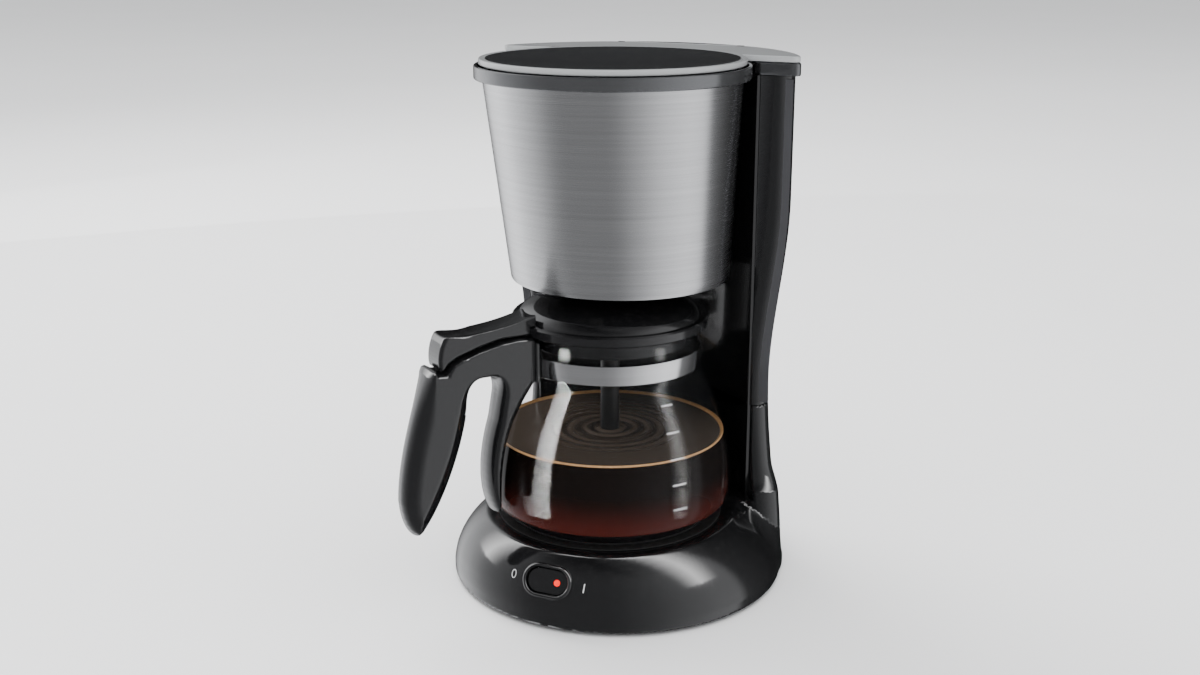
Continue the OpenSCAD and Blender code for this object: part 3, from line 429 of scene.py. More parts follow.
def drop_doubles(verts, faces):
    """Merges points that share a place, such as those on the axis of a turned outline."""
    seen, index = {}, []
    for v in verts:
        key = tuple(round(c, 5) for c in v)
        index.append(seen.setdefault(key, len(seen)))
    kept = [None] * len(seen)
    for v, i in zip(verts, index):
        kept[i] = v
    out = []
    for f in faces:
        g = []
        for i in f:
            if index[i] not in g:
                g.append(index[i])
        if len(g) > 2:
            out.append(tuple(g))
    return kept, out


def field_mesh(field, low, high, cell):
    """Points, outward normals and faces of the surface where a field of points is zero.

    The field is below zero inside. Each crossed cell gets one point, drawn onto the surface.
    """
    corners = ((1, 1), (0, 1), (0, 0), (1, 0))
    axes = [np.arange(low[i], high[i] + cell, cell) for i in range(3)]
    grid = np.stack(np.meshgrid(*axes, indexing="ij"), -1)
    shape = grid.shape[:3]
    inside = (field(grid.reshape(-1, 3)) < 0).reshape(shape)
    count = np.zeros(tuple(s - 1 for s in shape), int)
    for corner in np.ndindex(2, 2, 2):
        count += inside[tuple(slice(c, c + s - 1) for c, s in zip(corner, shape))]
    crossed = (count > 0) & (count < 8)
    index = np.full(crossed.shape, -1)
    index[crossed] = np.arange(crossed.sum())
    points = np.argwhere(crossed) * cell + [a[0] for a in axes] + cell / 2
    for _ in range(8):
        normals = gradient(field, points, cell * 0.02)
        step = field(points)[:, None] * normals / np.maximum((normals ** 2).sum(1), 0.05)[:, None]
        length = np.linalg.norm(step, axis=1)[:, None]
        points = points - step * np.minimum(1, cell * 0.5 / np.maximum(length, 1e-9))
    normals = gradient(field, points, cell * 0.02)
    normals /= np.maximum(np.linalg.norm(normals, axis=1), 1e-9)[:, None]
    faces = []
    for axis in range(3):
        first = [slice(None)] * 3
        second = [slice(None)] * 3
        first[axis], second[axis] = slice(None, -1), slice(1, None)
        a, b = inside[tuple(first)], inside[tuple(second)]
        edges = np.argwhere(a != b)
        u, v = (axis + 1) % 3, (axis + 2) % 3
        keep = ((edges[:, u] > 0) & (edges[:, v] > 0)
                & (edges[:, u] < shape[u] - 1) & (edges[:, v] < shape[v] - 1))
        edges = edges[keep]
        quad = []
        for du, dv in corners:
            c = edges.copy()
            c[:, u] -= du
            c[:, v] -= dv
            quad.append(index[c[:, 0], c[:, 1], c[:, 2]])
        quad = np.stack(quad, 1)
        outward = a[tuple(edges.T)]
        quad[~outward] = quad[~outward][:, ::-1]
        faces.append(quad)
    return points, normals, np.concatenate(faces)


def gradient(field, points, step):
    """The direction and rate in which a field grows at points."""
    out = np.empty_like(points)
    for i in range(3):
        d = np.zeros(3)
        d[i] = step
        out[:, i] = (field(points + d) - field(points - d)) / (2 * step)
    return out


def field_object(name, field, low, high, cell):
    """An object with the surface of a field, inside a box."""
    points, normals, faces = field_mesh(field, low, high, cell)
    return make_object(name, points, faces.tolist(), normals=normals.tolist())


def soft_max(a, b, r):
    """The space that two solids share, with the edge between them rounded."""
    return np.minimum(np.maximum(a, b), -r) + np.hypot(np.maximum(a + r, 0), np.maximum(b + r, 0))


def soft_min(a, b, r):
    """Two solids together, with a fillet between them."""
    return -soft_max(-a, -b, r)


def outline_distance(points, outline):
    """Signed distance from 2D points to a closed outline, below zero inside."""
    best = np.full(len(points), 1e9)
    inside = np.zeros(len(points), bool)
    n = len(outline)
    for i in range(n):
        a, b = np.array(outline[i], float), np.array(outline[(i + 1) % n], float)
        e, w = b - a, points - a
        t = np.clip((w @ e) / max(e @ e, 1e-9), 0, 1)
        best = np.minimum(best, ((w - t[:, None] * e) ** 2).sum(1))
        crosses = (a[1] > points[:, 1]) != (b[1] > points[:, 1])
        if e[1] != 0:
            at = a[0] + (points[:, 1] - a[1]) * e[0] / e[1]
            inside ^= crosses & (points[:, 0] < at)
    return np.where(inside, -1, 1) * np.sqrt(best)


# ---------------------------------------------------------------- materials


def node_group(name, inputs, outputs):
    """An empty shader group that takes numbers, with its input and output nodes."""
    tree = bpy.data.node_groups.new(name, "ShaderNodeTree")
    for label, default in inputs:
        tree.interface.new_socket(
            name=label, in_out="INPUT", socket_type="NodeSocketFloat").default_value = default
    for label, kind in outputs:
        tree.interface.new_socket(name=label, in_out="OUTPUT", socket_type="NodeSocket" + kind)
    return tree, tree.nodes.new("NodeGroupInput"), tree.nodes.new("NodeGroupOutput")


def feed(tree, socket, value):
    """Joins a socket to another one, or gives it a number, a vector or a colour."""
    if isinstance(value, bpy.types.NodeSocket):
        tree.links.new(value, socket)
    else:
        socket.default_value = value


def add_node(tree, kind, links=None, **values):
    """Adds a node; values set its properties or sockets, and links join its sockets."""
    node = tree.nodes.new("ShaderNode" + kind)
    for key, value in values.items():
        if hasattr(node, key):
            setattr(node, key, value)
        else:
            node.inputs[key.replace("_", " ")].default_value = value
    for key, value in (links or {}).items():
        feed(tree, node.inputs[key], value)
    return node


def calculate(tree, operation, *values):
    """A sum of numbers and sockets."""
    return add_node(tree, "Math", dict(enumerate(values)), operation=operation).outputs[0]


def calculate_vector(tree, operation, *values):
    """The same with vectors, as the node, which has a vector and a number to give."""
    return add_node(tree, "VectorMath", dict(enumerate(values)), operation=operation).outputs


def map_range(tree, value, low=0.0, high=1.0, to_low=0.0, to_high=1.0, kind="LINEAR"):
    """Carries a value over from one range to another, and keeps it inside."""
    return add_node(tree, "MapRange", {
        "Value": value, "From Min": low, "From Max": high, "To Min": to_low, "To Max": to_high},
        interpolation_type=kind).outputs[0]


def mix_colour(tree, share, first, second):
    """A colour that goes from the first to the second."""
    return add_node(tree, "Mix", {0: share, 6: (*first, 1), 7: (*second, 1)},
                    data_type="RGBA").outputs[2]


def object_place(tree):
    """Where a point of the surface lies in its object, in metres."""
    return add_node(tree, "TexCoord").outputs["Object"]


def noise(tree, place, scale, detail):
    """Soft random clouds, about 0.5 on average."""
    made = add_node(tree, "TexNoise", {"Vector": place, "Scale": scale}, Detail=detail)
    return made.outputs["Fac"]


def moulded_group():
    """Uneven polish, fine grain and a little settled dust on moulded plastic."""
    tree, source, sink = node_group(
        "Moulded surface",
        [("Smooth", 0.1), ("Rough", 0.2), ("Grain Size", 900.0), ("Grain Depth", 0.0003),
         ("Dust", 0.05)],
        [("Roughness", "Float"), ("Dust Mask", "Float"), ("Normal", "Vector")])
    given, place = source.outputs, object_place(tree)
    rough = map_range(tree, noise(tree, place, 14.0, 3.0), 0.35, 0.7, given["Smooth"],
                      given["Rough"])
    grain = noise(tree, place, given["Grain Size"], 2.0)
    bump = add_node(tree, "Bump", {"Height": grain, "Distance": given["Grain Depth"]},
                    Strength=1.0)
    normal = add_node(tree, "NewGeometry").outputs["Normal"]
    facing = add_node(tree, "SeparateXYZ", {"Vector": normal})
    upward = map_range(tree, facing.outputs["Z"], 0.3)
    speck = map_range(tree, noise(tree, place, 260.0, 4.0), 0.5, 0.72)
    mask = calculate(tree, "MULTIPLY", calculate(tree, "MULTIPLY", upward, speck), given["Dust"])
    tree.links.new(rough, sink.inputs["Roughness"])
    tree.links.new(mask, sink.inputs["Dust Mask"])
    tree.links.new(bump.outputs[0], sink.inputs["Normal"])
    return tree


def brushed_group():
    """Fine level brush lines: a roughness and a normal that change from line to line."""
    tree, source, sink = node_group(
        "Brushed lines",
        [("Smooth", 0.2), ("Rough", 0.35), ("Lines", 1800.0), ("Depth", 0.00002)],
        [("Roughness", "Float"), ("Shade", "Float"), ("Normal", "Vector")])
    given = source.outputs
    scale = add_node(tree, "CombineXYZ", {"Z": given["Lines"]}, X=14.0, Y=14.0).outputs[0]
    lines = calculate_vector(tree, "MULTIPLY", object_place(tree), scale)[0]
    fine = add_node(tree, "TexNoise", {"Vector": lines}, Scale=1.0, Detail=3.0,
                    Roughness=0.7).outputs["Fac"]
    wide = add_node(tree, "VectorMath", {0: lines, "Scale": 0.13}, operation="SCALE").outputs[0]
    broad = noise(tree, wide, 1.0, 2.0)
    rough = map_range(tree, fine, 0.3, 0.7, given["Smooth"], given["Rough"])
    shade = map_range(tree, calculate(tree, "ADD", fine, broad), 0.7, 1.3)
    bump = add_node(tree, "Bump", {"Height": fine, "Distance": given["Depth"]}, Strength=1.0)
    tree.links.new(rough, sink.inputs["Roughness"])
    tree.links.new(shade, sink.inputs["Shade"])
    tree.links.new(bump.outputs[0], sink.inputs["Normal"])
    return tree


def new_material(name):
    """A material with only its shader and output, its nodes and the shader."""
    made = bpy.data.materials.new(name)
    made.use_nodes = True
    tree = made.node_tree
    tree.nodes.clear()
    shader = add_node(tree, "BsdfPrincipled")
    add_node(tree, "OutputMaterial", {"Surface": shader.outputs[0]})
    return made, tree, shader


def set_sockets(node, **values):
    """Sets sockets by their names, with underscores for spaces."""
    for key, value in values.items():
        socket = node.inputs[key.replace("_", " ")]
        socket.default_value = (*value, 1) if hasattr(value, "__len__") else value


def surface_effect(tree, name, **values):
    """Places one of the shared groups in a material, with the material's own values."""
    group = add_node(tree, "Group")
    group.node_tree = bpy.data.node_groups[name]
    set_sockets(group, **values)
    return group.outputs


def plastic(name, colour, smooth=0.08, rough=0.16, grain=0.00002, dust=0.05, size=900.0, coat=0.0,
            metallic=0.0):
    """Moulded plastic: an even colour, a shade lighter where dust lies on it."""
    made, tree, shader = new_material(name)
    effect = surface_effect(tree, "Moulded surface", Smooth=smooth, Rough=rough, Grain_Depth=grain,
                            Dust=dust, Grain_Size=size)
    tint = mix_colour(tree, effect["Dust Mask"], colour, (0.5, 0.49, 0.47))
    tree.links.new(tint, shader.inputs["Base Color"])
    tree.links.new(effect["Roughness"], shader.inputs["Roughness"])
    tree.links.new(effect["Normal"], shader.inputs["Normal"])
    set_sockets(shader, Coat_Weight=coat, Coat_Roughness=0.04, IOR=PLASTIC_IOR, Metallic=metallic)
    return made


def metal(name, colour, smooth, rough, lines=1800.0, depth=0.00002, shading=0.12, spread=0.0):
    """Steel or aluminium with brush lines; spread draws its reflections out across them."""
    made, tree, shader = new_material(name)
    effect = surface_effect(tree, "Brushed lines", Smooth=smooth, Rough=rough, Lines=lines,
                            Depth=depth)
    tint = mix_colour(tree, effect["Shade"], [c * (1 - shading) for c in colour],
                      [min(1, c * (1 + shading)) for c in colour])
    tree.links.new(tint, shader.inputs["Base Color"])
    tree.links.new(effect["Roughness"], shader.inputs["Roughness"])
    tree.links.new(effect["Normal"], shader.inputs["Normal"])
    set_sockets(shader, Metallic=1.0, Anisotropic=spread, Anisotropic_Rotation=0.25)
    return made


def clear_material(name, colour, rough, film=None):
    """Clear glass: a solid that bends light, or a thin film that only mirrors a little of it."""
    made, tree, shader = new_material(name)
    smear = noise(tree, object_place(tree), 9.0, 3.0)
    tree.links.new(map_range(tree, smear, 0.45, 1.0, rough, rough + 0.03),
                   shader.inputs["Roughness"])
    set_sockets(shader, Base_Color=colour, IOR=GLASS_IOR)
    if film is None:
        set_sockets(shader, Transmission_Weight=1.0, Specular_IOR_Level=0.1)
    else:
        set_sockets(shader, Alpha=film)
    return made


def coffee_material(colour):
    """Coffee: black in the mass, painted dark red-brown where light comes through the lower edge.
    """
    made, tree, shader = new_material("Coffee")
    place = object_place(tree)
    height = add_node(tree, "SeparateXYZ", {"Vector": place}).outputs["Z"]
    # Painted light: red-brown at the bottom, fading to black above, for light that shines through
    # the coffee's lower edge.
    depth = map_range(tree, height, 0.05, 0.082, kind="SMOOTHSTEP")
    tree.links.new(mix_colour(tree, depth, colour, (0.004, 0.0018, 0.0012)),
                   shader.inputs["Base Color"])
    tree.links.new(map_range(tree, noise(tree, place, 30.0, 3.0), to_low=0.03, to_high=0.08),
                   shader.inputs["Roughness"])
    set_sockets(shader, IOR=COFFEE_IOR, Specular_IOR_Level=0.2)
    return made


def coffee_top_material():
    """The coffee's upper face: brown, with painted lighter and darker rings for the light and
    shade on its ripples.
    """
    made, tree, shader = new_material("Coffee surface")
    place, ring = object_place(tree), 0.0085
    flat = calculate_vector(tree, "MULTIPLY", place, (1, 1, 0))[0]
    radius = calculate_vector(tree, "LENGTH", flat)["Value"]
    shift = calculate(tree, "MULTIPLY", noise(tree, place, 26.0, 3.0), 0.006)
    turns = calculate(tree, "MULTIPLY", calculate(tree, "ADD", radius, shift), TAU / ring)
    near = map_range(tree, radius, 0.055, 0.012, kind="SMOOTHSTEP")
    # Painted light and shade of the ripples: rings round the middle that fade out towards the
    # glass.
    ripple_light_and_shade = calculate(tree, "MULTIPLY", calculate(tree, "SINE", turns), near)
    tint = mix_colour(tree, map_range(tree, ripple_light_and_shade, -1.4, 1.0), (0.012, 0.007, 0.005),
                      (0.13, 0.1, 0.078))
    tree.links.new(tint, shader.inputs["Base Color"])
    set_sockets(shader, Roughness=0.12, IOR=COFFEE_IOR)
    return made


def cell_material(name, size, first, second):
    """A material with small cells in two colours, its nodes, the cells and their colour."""
    made, tree, shader = new_material(name)
    cells = add_node(tree, "TexVoronoi", {"Vector": object_place(tree)}, Scale=size)
    tint = mix_colour(tree, cells.outputs["Distance"], first, second)
    tree.links.new(tint, shader.inputs["Base Color"])
    return made, tree, shader, cells.outputs["Distance"], tint


def foam_material():
    """The light brown ring of small bubbles at the coffee's edge."""
    made, tree, shader, bubbles, _ = cell_material("Coffee foam", 900.0, (0.75, 0.45, 0.2),
                                                   (0.42, 0.2, 0.07))
    bump = add_node(tree, "Bump", {"Height": bubbles}, Distance=0.0002)
    tree.links.new(bump.outputs[0], shader.inputs["Normal"])
    set_sockets(shader, Roughness=0.35)
    return made


def lamp_material():
    """A lit red lens with fine facets."""
    made, tree, shader, _, tint = cell_material("Red lamp", 1500.0, (1.0, 0.03, 0.01),
                                                (0.6, 0.0, 0.0))
    tree.links.new(tint, shader.inputs["Emission Color"])
    set_sockets(shader, Roughness=0.15, Emission_Strength=1.6)
    return made


def floor_material(colour):
    """A pale, dull floor with hardly visible clouds."""
    made, tree, shader = new_material("Pale floor")
    tint = mix_colour(tree, noise(tree, object_place(tree), 2.2, 2.0),
                      [c * 0.96 for c in colour], colour)
    tree.links.new(tint, shader.inputs["Base Color"])
    set_sockets(shader, Roughness=0.6)
    return made


MATERIALS = {}


def make_materials():
    """Makes every finish, named like the slots of the record."""
    f = sizes("finishes")
    moulded_group()
    brushed_group()
    black, grey, steel = tuple(f.black), tuple(f.grey), tuple(f.steel)
    MATERIALS.update({
        "gloss_black": plastic("Gloss black", black, 0.1, 0.15, 0.000002, dust=0.02, coat=0.3),
        "matte_black": plastic("Satin black", (0.008, 0.008, 0.0085), 0.38, 0.5, 0.00006,
                               dust=0.02),
        "grey_gloss": plastic("Grey gloss", grey, 0.12, 0.18, 0.000003, dust=0.02, coat=0.3,
                              metallic=0.8),
        "lid_grey": plastic("Lid grey", tuple(f.lid), 0.16, 0.24, 0.000004, dust=0.02, coat=0.2),
        "dish_black": plastic("Lid dish", (0.03, 0.031, 0.033), 0.14, 0.2, 0.000003, coat=0.3),
        "ivory_plastic": plastic("Natural plastic", (0.62, 0.6, 0.53), 0.35, 0.45, 0.00005),
        "smoke_plastic": plastic("Smoked plastic", (0.06, 0.06, 0.065), 0.1, 0.2),
        "rubber": plastic("Black rubber", (0.014, 0.014, 0.014), 0.6, 0.75, 0.0001, size=1600.0),
        "silicone": plastic("Silicone", (0.55, 0.53, 0.47), 0.4, 0.55, 0.00004),
        "plate_coating": plastic("Plate coating", (0.02, 0.02, 0.021), 0.3, 0.42, 0.00012,
                                 size=2400.0),
        "steel": metal("Plated steel", (0.62, 0.62, 0.62), 0.18, 0.3),
        "aluminium": metal("Aluminium", (0.7, 0.7, 0.71), 0.25, 0.4),
        "heater_metal": metal("Heater metal", (0.3, 0.29, 0.28), 0.35, 0.5),
        "brushed_steel": metal("Brushed steel", steel, 0.24, 0.3, 2600.0, 0.00001, 0.1, 0.75),
        "polished_steel": metal("Polished steel", (0.7, 0.7, 0.71), 0.08, 0.14, 1200.0, 0.000006,
                                0.05),
        "jug_glass": clear_material("Jug glass", (0.03, 0.031, 0.032), 0.03, 0.1),
        "clear": clear_material("Clear lens", (0.9, 0.92, 0.93), 0.02),
        "red_lens": lamp_material(),
        "coffee": coffee_material(tuple(f.coffee)),
        "coffee_top": coffee_top_material(),
        "foam": foam_material(),
        "white_print": plastic("White print", (0.75, 0.75, 0.75), 0.4, 0.5),
        "floor": floor_material(tuple(f.floor)),
    })


def finish(name):
    """One of the finishes by its slot's name."""
    if not MATERIALS:
        make_materials()
    return MATERIALS[name]


# ---------------------------------------------------------------- base and tower


def skirt_radius(z):
    """The skirt's radius: upright at its foot, then a swelling slope up to the deck."""
    s = sizes("body")
    foot, deck = 8.0, mm(s.base_height)
    curve = bezier([(foot, mm(s.base_radius)), (foot + 13, mm(s.base_radius) - 3.5),
                    (deck - 9, mm(s.deck_radius) + 15), (deck + 0.5, mm(s.deck_radius) - 0.5)], 40)
    return np.interp(z, curve[:, 0], curve[:, 1])


def outside_recess(x, y, wall):
    """How far inside the round recess points are, below zero outside it and its wall."""
    return mm(sizes("body").recess_radius) + wall - np.hypot(x, y - recess_centre())


def wing_field(p):
    """The round body behind the wings' front plane, with rounded corners: whole, and recessed."""
    s = sizes("body")
    front, corner = mm(s.wing_front), mm(s.wing_corner)
    x, y, z = p.T
    back, radius = mm(s.back), body_radius(z)
    outer = np.hypot(x, y - back) - radius
    cx = np.sqrt((radius - corner) ** 2 - (front + corner - back) ** 2)
    dx, dy = np.abs(x) - cx, y - front - corner
    turn = np.arctan2(dy, dx)
    rounded = (turn > -math.pi / 2) & (turn < np.arctan2(front + corner - back, cx))
    body = np.where(rounded, np.hypot(dx, dy) - corner, np.maximum(outer, front - y))
    return body, soft_max(body, outside_recess(x, y, 1.9), 1.2)


def base_field(p):
    """The base: a skirt with a flat deck that sweeps up into the tower's foot, and a pocket."""
    s = sizes("body")
    x, y, z = p.T
    back, deck = mm(s.back), mm(s.base_height)
    centre = back - back / (deck - 8) * np.maximum(z - 8, 0)
    skirt = (np.hypot(x, y - centre) - skirt_radius(z)) * 0.8
    skirt = soft_max(skirt, z - deck, 1.5)
    foot = soft_max(np.hypot(x, y - back) - mm(s.base_radius), 2.5 - z, 1.0)
    skirt = np.maximum(skirt, foot)
    body, tower = wing_field(p)
    rear = np.maximum(body, z - deck)
    outer = np.hypot(x, y - back) - body_radius(z)
    solid = soft_min(np.minimum(skirt, rear), tower, 24.0)
    solid = soft_max(solid, np.minimum(skirt, outer) - 2.0, 3.0)
    solid = soft_max(solid, np.minimum(outside_recess(x, y, 1.9), z - deck - 0.4), 1.5)
    c, n = math.cos(SWITCH_TILT), math.sin(SWITCH_TILT)
    up = (y - SWITCH_Y) * n + (z - SWITCH_Z) * c
    out = (z - SWITCH_Z) * n - (y - SWITCH_Y) * c
    pocket = np.hypot(np.maximum(np.abs(x) - 6.1, 0), up) - 8.75
    solid = np.maximum(solid, -np.maximum(pocket, -12 - out))
    return np.maximum(solid, z - mm(s.seam_height))


def build_base_housing():
    """The base moulding's skin up to the seam."""
    s = sizes("body")
    r, back = mm(s.base_radius) + 3, mm(s.back)
    cell = 1.6
    obj = field_object("base_housing_skin", base_field, (-r, back - r, 0.7),
                       (r, back + r, mm(s.seam_height) + 2.5), cell)
    return piece(obj, "machine", finish("gloss_black"), ["base_housing"])


def arc(x, y, radius, start, end, steps):
    """Points of a level arc at some of its steps; the last number is how many it has in all."""
    angles = [lerp(start, end, i / steps[-1]) for i in steps[:-1]]
    return [(x + radius * math.cos(a), y + radius * math.sin(a)) for a in angles]


def crescent(z, inset=0.0):
    """The tower's level outline at a height: round back, round front corners, round recess."""
    s = sizes("body")
    back, centre, small = mm(s.back), recess_centre(), 1.2
    outer = float(body_radius(z)) - inset
    inner = mm(s.recess_radius) + 1.9 + inset
    front, corner = mm(s.wing_front) + inset, max(mm(s.wing_corner) - inset, 0.6)
    outer_x = math.sqrt((outer - corner) ** 2 - (front + corner - back) ** 2)
    outer_turn = math.atan2(front + corner - back, outer_x)
    inner_x = math.sqrt((inner + small) ** 2 - (front + small - centre) ** 2)
    inner_turn = math.atan2(front + small - centre, inner_x)
    up = math.pi / 2
    half = (arc(0, back, outer, up, outer_turn, [*range(60), 60])
            + arc(outer_x, front + corner, corner, outer_turn, -up, [*range(17), 16])
            + arc(inner_x, front + small, small, -up, inner_turn - math.pi, [*range(7), 6])
            + arc(0, centre, inner, inner_turn, up, [*range(1, 61), 60]))
    return half + [(-x, y) for x, y in reversed(half[1:-1])]


def build_tower_shell():
    """The tower's skin above the seam, with a small rounded edge at the seam."""
    s = sizes("body")
    z0, z1 = mm(s.seam_height) + 0.25, mm(s.tower_height)
    levels = [(z0 + 0.01, 0.6), (z0 + 0.25, 0.15), (z0 + 0.7, 0.0)]
    levels += [(z, 0.0) for z in np.linspace(z0 + 3, z1, 60)]
    rings = []
    for z, inset in levels:
        rings.append([(x, y, z) for x, y in crescent(z, inset)])
    verts, faces = loft(rings, caps=True)
    obj = make_object("tower_shell_skin", verts, faces, 50)
    return piece(obj, "machine", finish("gloss_black"), ["tower_shell"])


def build_recess_panel():
    """The curved wall behind the jug."""
    s = sizes("body")
    centre = recess_centre()
    r0, r1 = mm(s.recess_radius), mm(s.recess_radius) + RECESS_WALL
    low, high = mm(s.base_height) + 0.2, mm(s.tower_height)
    edge = math.asin((mm(s.wing_front) + 0.4 - centre) / r1)
    profile = soften([(r1, low), (r1, high), (r0, high), (r0, low)], 0.4, 2)
    verts, faces = turned(profile, lambda z: centre, edge, math.pi - edge, 120)
    obj = make_object("recess_panel_skin", verts, faces)
    return piece(obj, "machine", finish("gloss_black"), ["recess_panel"])


def collar_field(p):
    """The tower's collar: a rim with a front strip, the hinge block and the two hinge ears."""
    s = sizes("body")
    x, y, z = p.T
    low, reach = mm(s.tower_height), mm(s.collar_radius)
    round_body = np.hypot(x, y - mm(s.back))
    outer = soft_max(round_body - reach, mm(s.wing_front) - y, 6.0)
    outer = soft_max(outer, outside_recess(x, y, 1.2), 1.0)
    outer = np.maximum(outer, np.minimum(reach - 4 - round_body, y - mm(s.wing_front) - 5.5))
    rim = soft_max(outer, np.maximum(z - low - COLLAR_HEIGHT, low + 0.1 - z), 0.9)
    block = soft_max(np.maximum(round_body - reach, np.abs(x) - 46),
                     np.maximum(113.85 - y, z - LID_TOP), 0.7)
    solid = np.minimum(rim, np.maximum(block, low + 0.1 - z))
    from_pin = np.hypot(y - HINGE_Y, z - HINGE_Z)
    post = np.maximum(np.maximum(HINGE_Y - 2.2 - y, y - 116),
                      np.maximum(z - HINGE_Z, low + 0.1 - z))
    ears = np.maximum(np.abs(np.abs(x) - 42.5) - 2.45, np.minimum(from_pin - 2.2, post))
    channel = np.maximum(from_pin - 2.65, np.abs(x) - 40)
    return np.minimum(np.maximum(solid, -channel), ears)


def build_tower_collar():
    """The tower's collar with the lid's hinge."""
    s = sizes("body")
    reach, front, low = mm(s.collar_radius), mm(s.wing_front), mm(s.tower_height)
    cell = 0.8
    obj = field_object("tower_collar_skin", collar_field, (-reach - 1, front - 2, low - 1.5),
                       (reach + 1, mm(s.back) + reach + 1, HINGE_Z + 4.5), cell)
    return piece(obj, "machine", finish("grey_gloss"), ["tower_collar"])


# ---------------------------------------------------------------- drum and lid


def on_sleeve(profile, centre):
    """An outline of (radius, height) turned over the sleeve's angle, round the front."""
    front, half = -math.pi / 2, sizes("drum").half_angle
    return turned(profile, centre, front - half, front + half, 200)


def build_steel_sleeve():
    """The brushed sheet round the drum, with its bottom edge turned in."""
    s = sizes("drum")
    z0, z1 = mm(s.bottom), mm(sizes("body").tower_height) - 0.2
    outer = [(drum_radius(z0) - 0.7, z0), (drum_radius(z0) - 0.2, z0 + 0.15),
             (drum_radius(z0 + 0.8), z0 + 0.8)]
    outer += [(drum_radius(z), z) for z in np.linspace(z0 + 4, z1, 40)]
    inner = [(r - 0.8, z) for r, z in reversed(outer[2:])]
    obj = make_object("steel_sleeve_skin", *on_sleeve(outer + inner, drum_back))
    return piece(obj, "machine", finish("brushed_steel"), ["steel_sleeve"])


def build_drum_collar():
    """The drum's rim: a channel with a spigot inside the sleeve's top."""
    s = sizes("drum")
    z0, reach, top = mm(sizes("body").tower_height), DRUM_COLLAR_RADIUS, mm(s.top_radius)
    low, high = z0 + 0.02, z0 + COLLAR_HEIGHT
    profile = soften([(top - 3.2, low), (reach, low), (reach, high), (reach - 2, high),
                      (reach - 2, z0 + 2), (top - 1.2, z0 + 2), (top - 1.2, z0 + 6),
                      (top - 3.2, z0 + 6)],
                     [0.3, 1.0, 0.8, 0.3, 0.3, 0.3, 0.3, 0.3])
    obj = make_object("drum_collar_skin", *on_sleeve(profile, lambda z: mm(s.top_back)))
    return piece(obj, "machine", finish("grey_gloss"), ["drum_collar"])


def lid_field(p):
    """The lid: a round front and a wide back, dished over the drum, with its hinge barrel."""
    s = sizes("body")
    x, y, z = p.T
    back, centre = mm(s.back), mm(sizes("drum").top_back)
    ball = (DISH_RADIUS ** 2 + DISH_DEPTH ** 2) / (2 * DISH_DEPTH)
    from_centre = np.hypot(x, y - centre)
    front = from_centre - 80.5
    rear = soft_max(np.hypot(x, y - back) - mm(s.collar_radius) + 0.5,
                    mm(s.wing_front) - 0.2 - y, 6.0)
    rear = np.maximum(rear, y - HINGE_Y)
    flat = soft_min(front, rear, 0.8)
    plate = soft_max(flat, np.maximum(z - LID_TOP, LID_LOW - z), 0.8)
    pocket = np.maximum(np.maximum(flat + 2.5, z - (LID_TOP - LID_SKIN)),
                        np.maximum(DISH_RADIUS + 1 - from_centre, y - (HINGE_Y - 4)))
    plate = np.maximum(plate, -pocket)
    low = ball - np.sqrt(from_centre ** 2 + (z - (LID_TOP - LID_SKIN + ball - DISH_DEPTH)) ** 2)
    under = np.maximum(np.maximum(from_centre - DISH_RADIUS + 1, z - LID_LOW - 2), low)
    plate = np.maximum(plate, -under)
    bowl = np.maximum(np.maximum(from_centre - DISH_RADIUS, z - LID_TOP), -low)
    solid = np.minimum(plate, bowl)
    dish = ball - np.sqrt(from_centre ** 2 + (z - (LID_TOP + ball - DISH_DEPTH)) ** 2)
    solid = soft_max(solid, dish, 0.5)
    barrel = np.maximum(np.hypot(y - HINGE_Y, z - HINGE_Z) - PIN_BARREL, np.abs(x) - 39.8)
    solid = np.minimum(solid, barrel)
    ears = np.maximum(np.abs(np.abs(x) - 42.5) - 2.85, HINGE_Y - 2.55 - y)
    return np.maximum(solid, -ears)


def build_lid_cover():
    """The lid's skin, with its dish in a darker finish."""
    r = mm(sizes("body").collar_radius) + 2
    obj = field_object("lid_cover_skin", lid_field, (-r, -79.5, LID_LOW - 4.0),
                       (r, HINGE_Y + 4, LID_TOP + 1.5), 0.8)
    obj = piece(obj, "lid", finish("lid_grey"), ["lid_cover"])
    obj.data.materials.append(finish("dish_black"))
    centre, edge = mm(sizes("drum").top_back), DISH_RADIUS - 0.4
    for face in obj.data.polygons:
        x, y = (c / MM for c in face.center[:2])
        if math.hypot(x, y - centre) < edge and face.normal.z > 0.5:
            face.material_index = 1
    return obj


# ---------------------------------------------------------------- jug


def glass_profile():
    """The outside of the glass as (radius, height), from the middle of the bottom to the lip."""
    s = sizes("jug")
    r, neck = mm(s.radius), mm(s.neck_radius)
    floor = [(0, JUG_Z + 1.6), (30, JUG_Z + 1.3), (52, JUG_Z + 0.5)]
    corner = bezier([(58, JUG_Z), (r - 4, JUG_Z), (r, JUG_Z + 6), (r, JUG_Z + JUG_CORNER + 4)], 18)
    side = bezier([(r, JUG_Z + JUG_CORNER + 4), (r, JUG_Z + 53), (neck + 9.5, JUG_Z + 79),
                   (neck, NECK_Z)], 48)
    lip = [(neck, NECK_Z + 8), (neck, GLASS_TOP - 4), (neck + 0.6, GLASS_TOP - 1.5),
           (neck + 1.4, GLASS_TOP - 0.3)]
    return chain(floor, corner, side, lip)


def inner_radius(z):
    """The inside radius of the glass at a height."""
    outer = [p for p in glass_profile() if p[0] > 60 or p[1] > NECK_Z]
    heights, radii = [p[1] for p in outer], [p[0] for p in outer]
    return float(np.interp(z, heights, radii)) - mm(sizes("jug").glass)


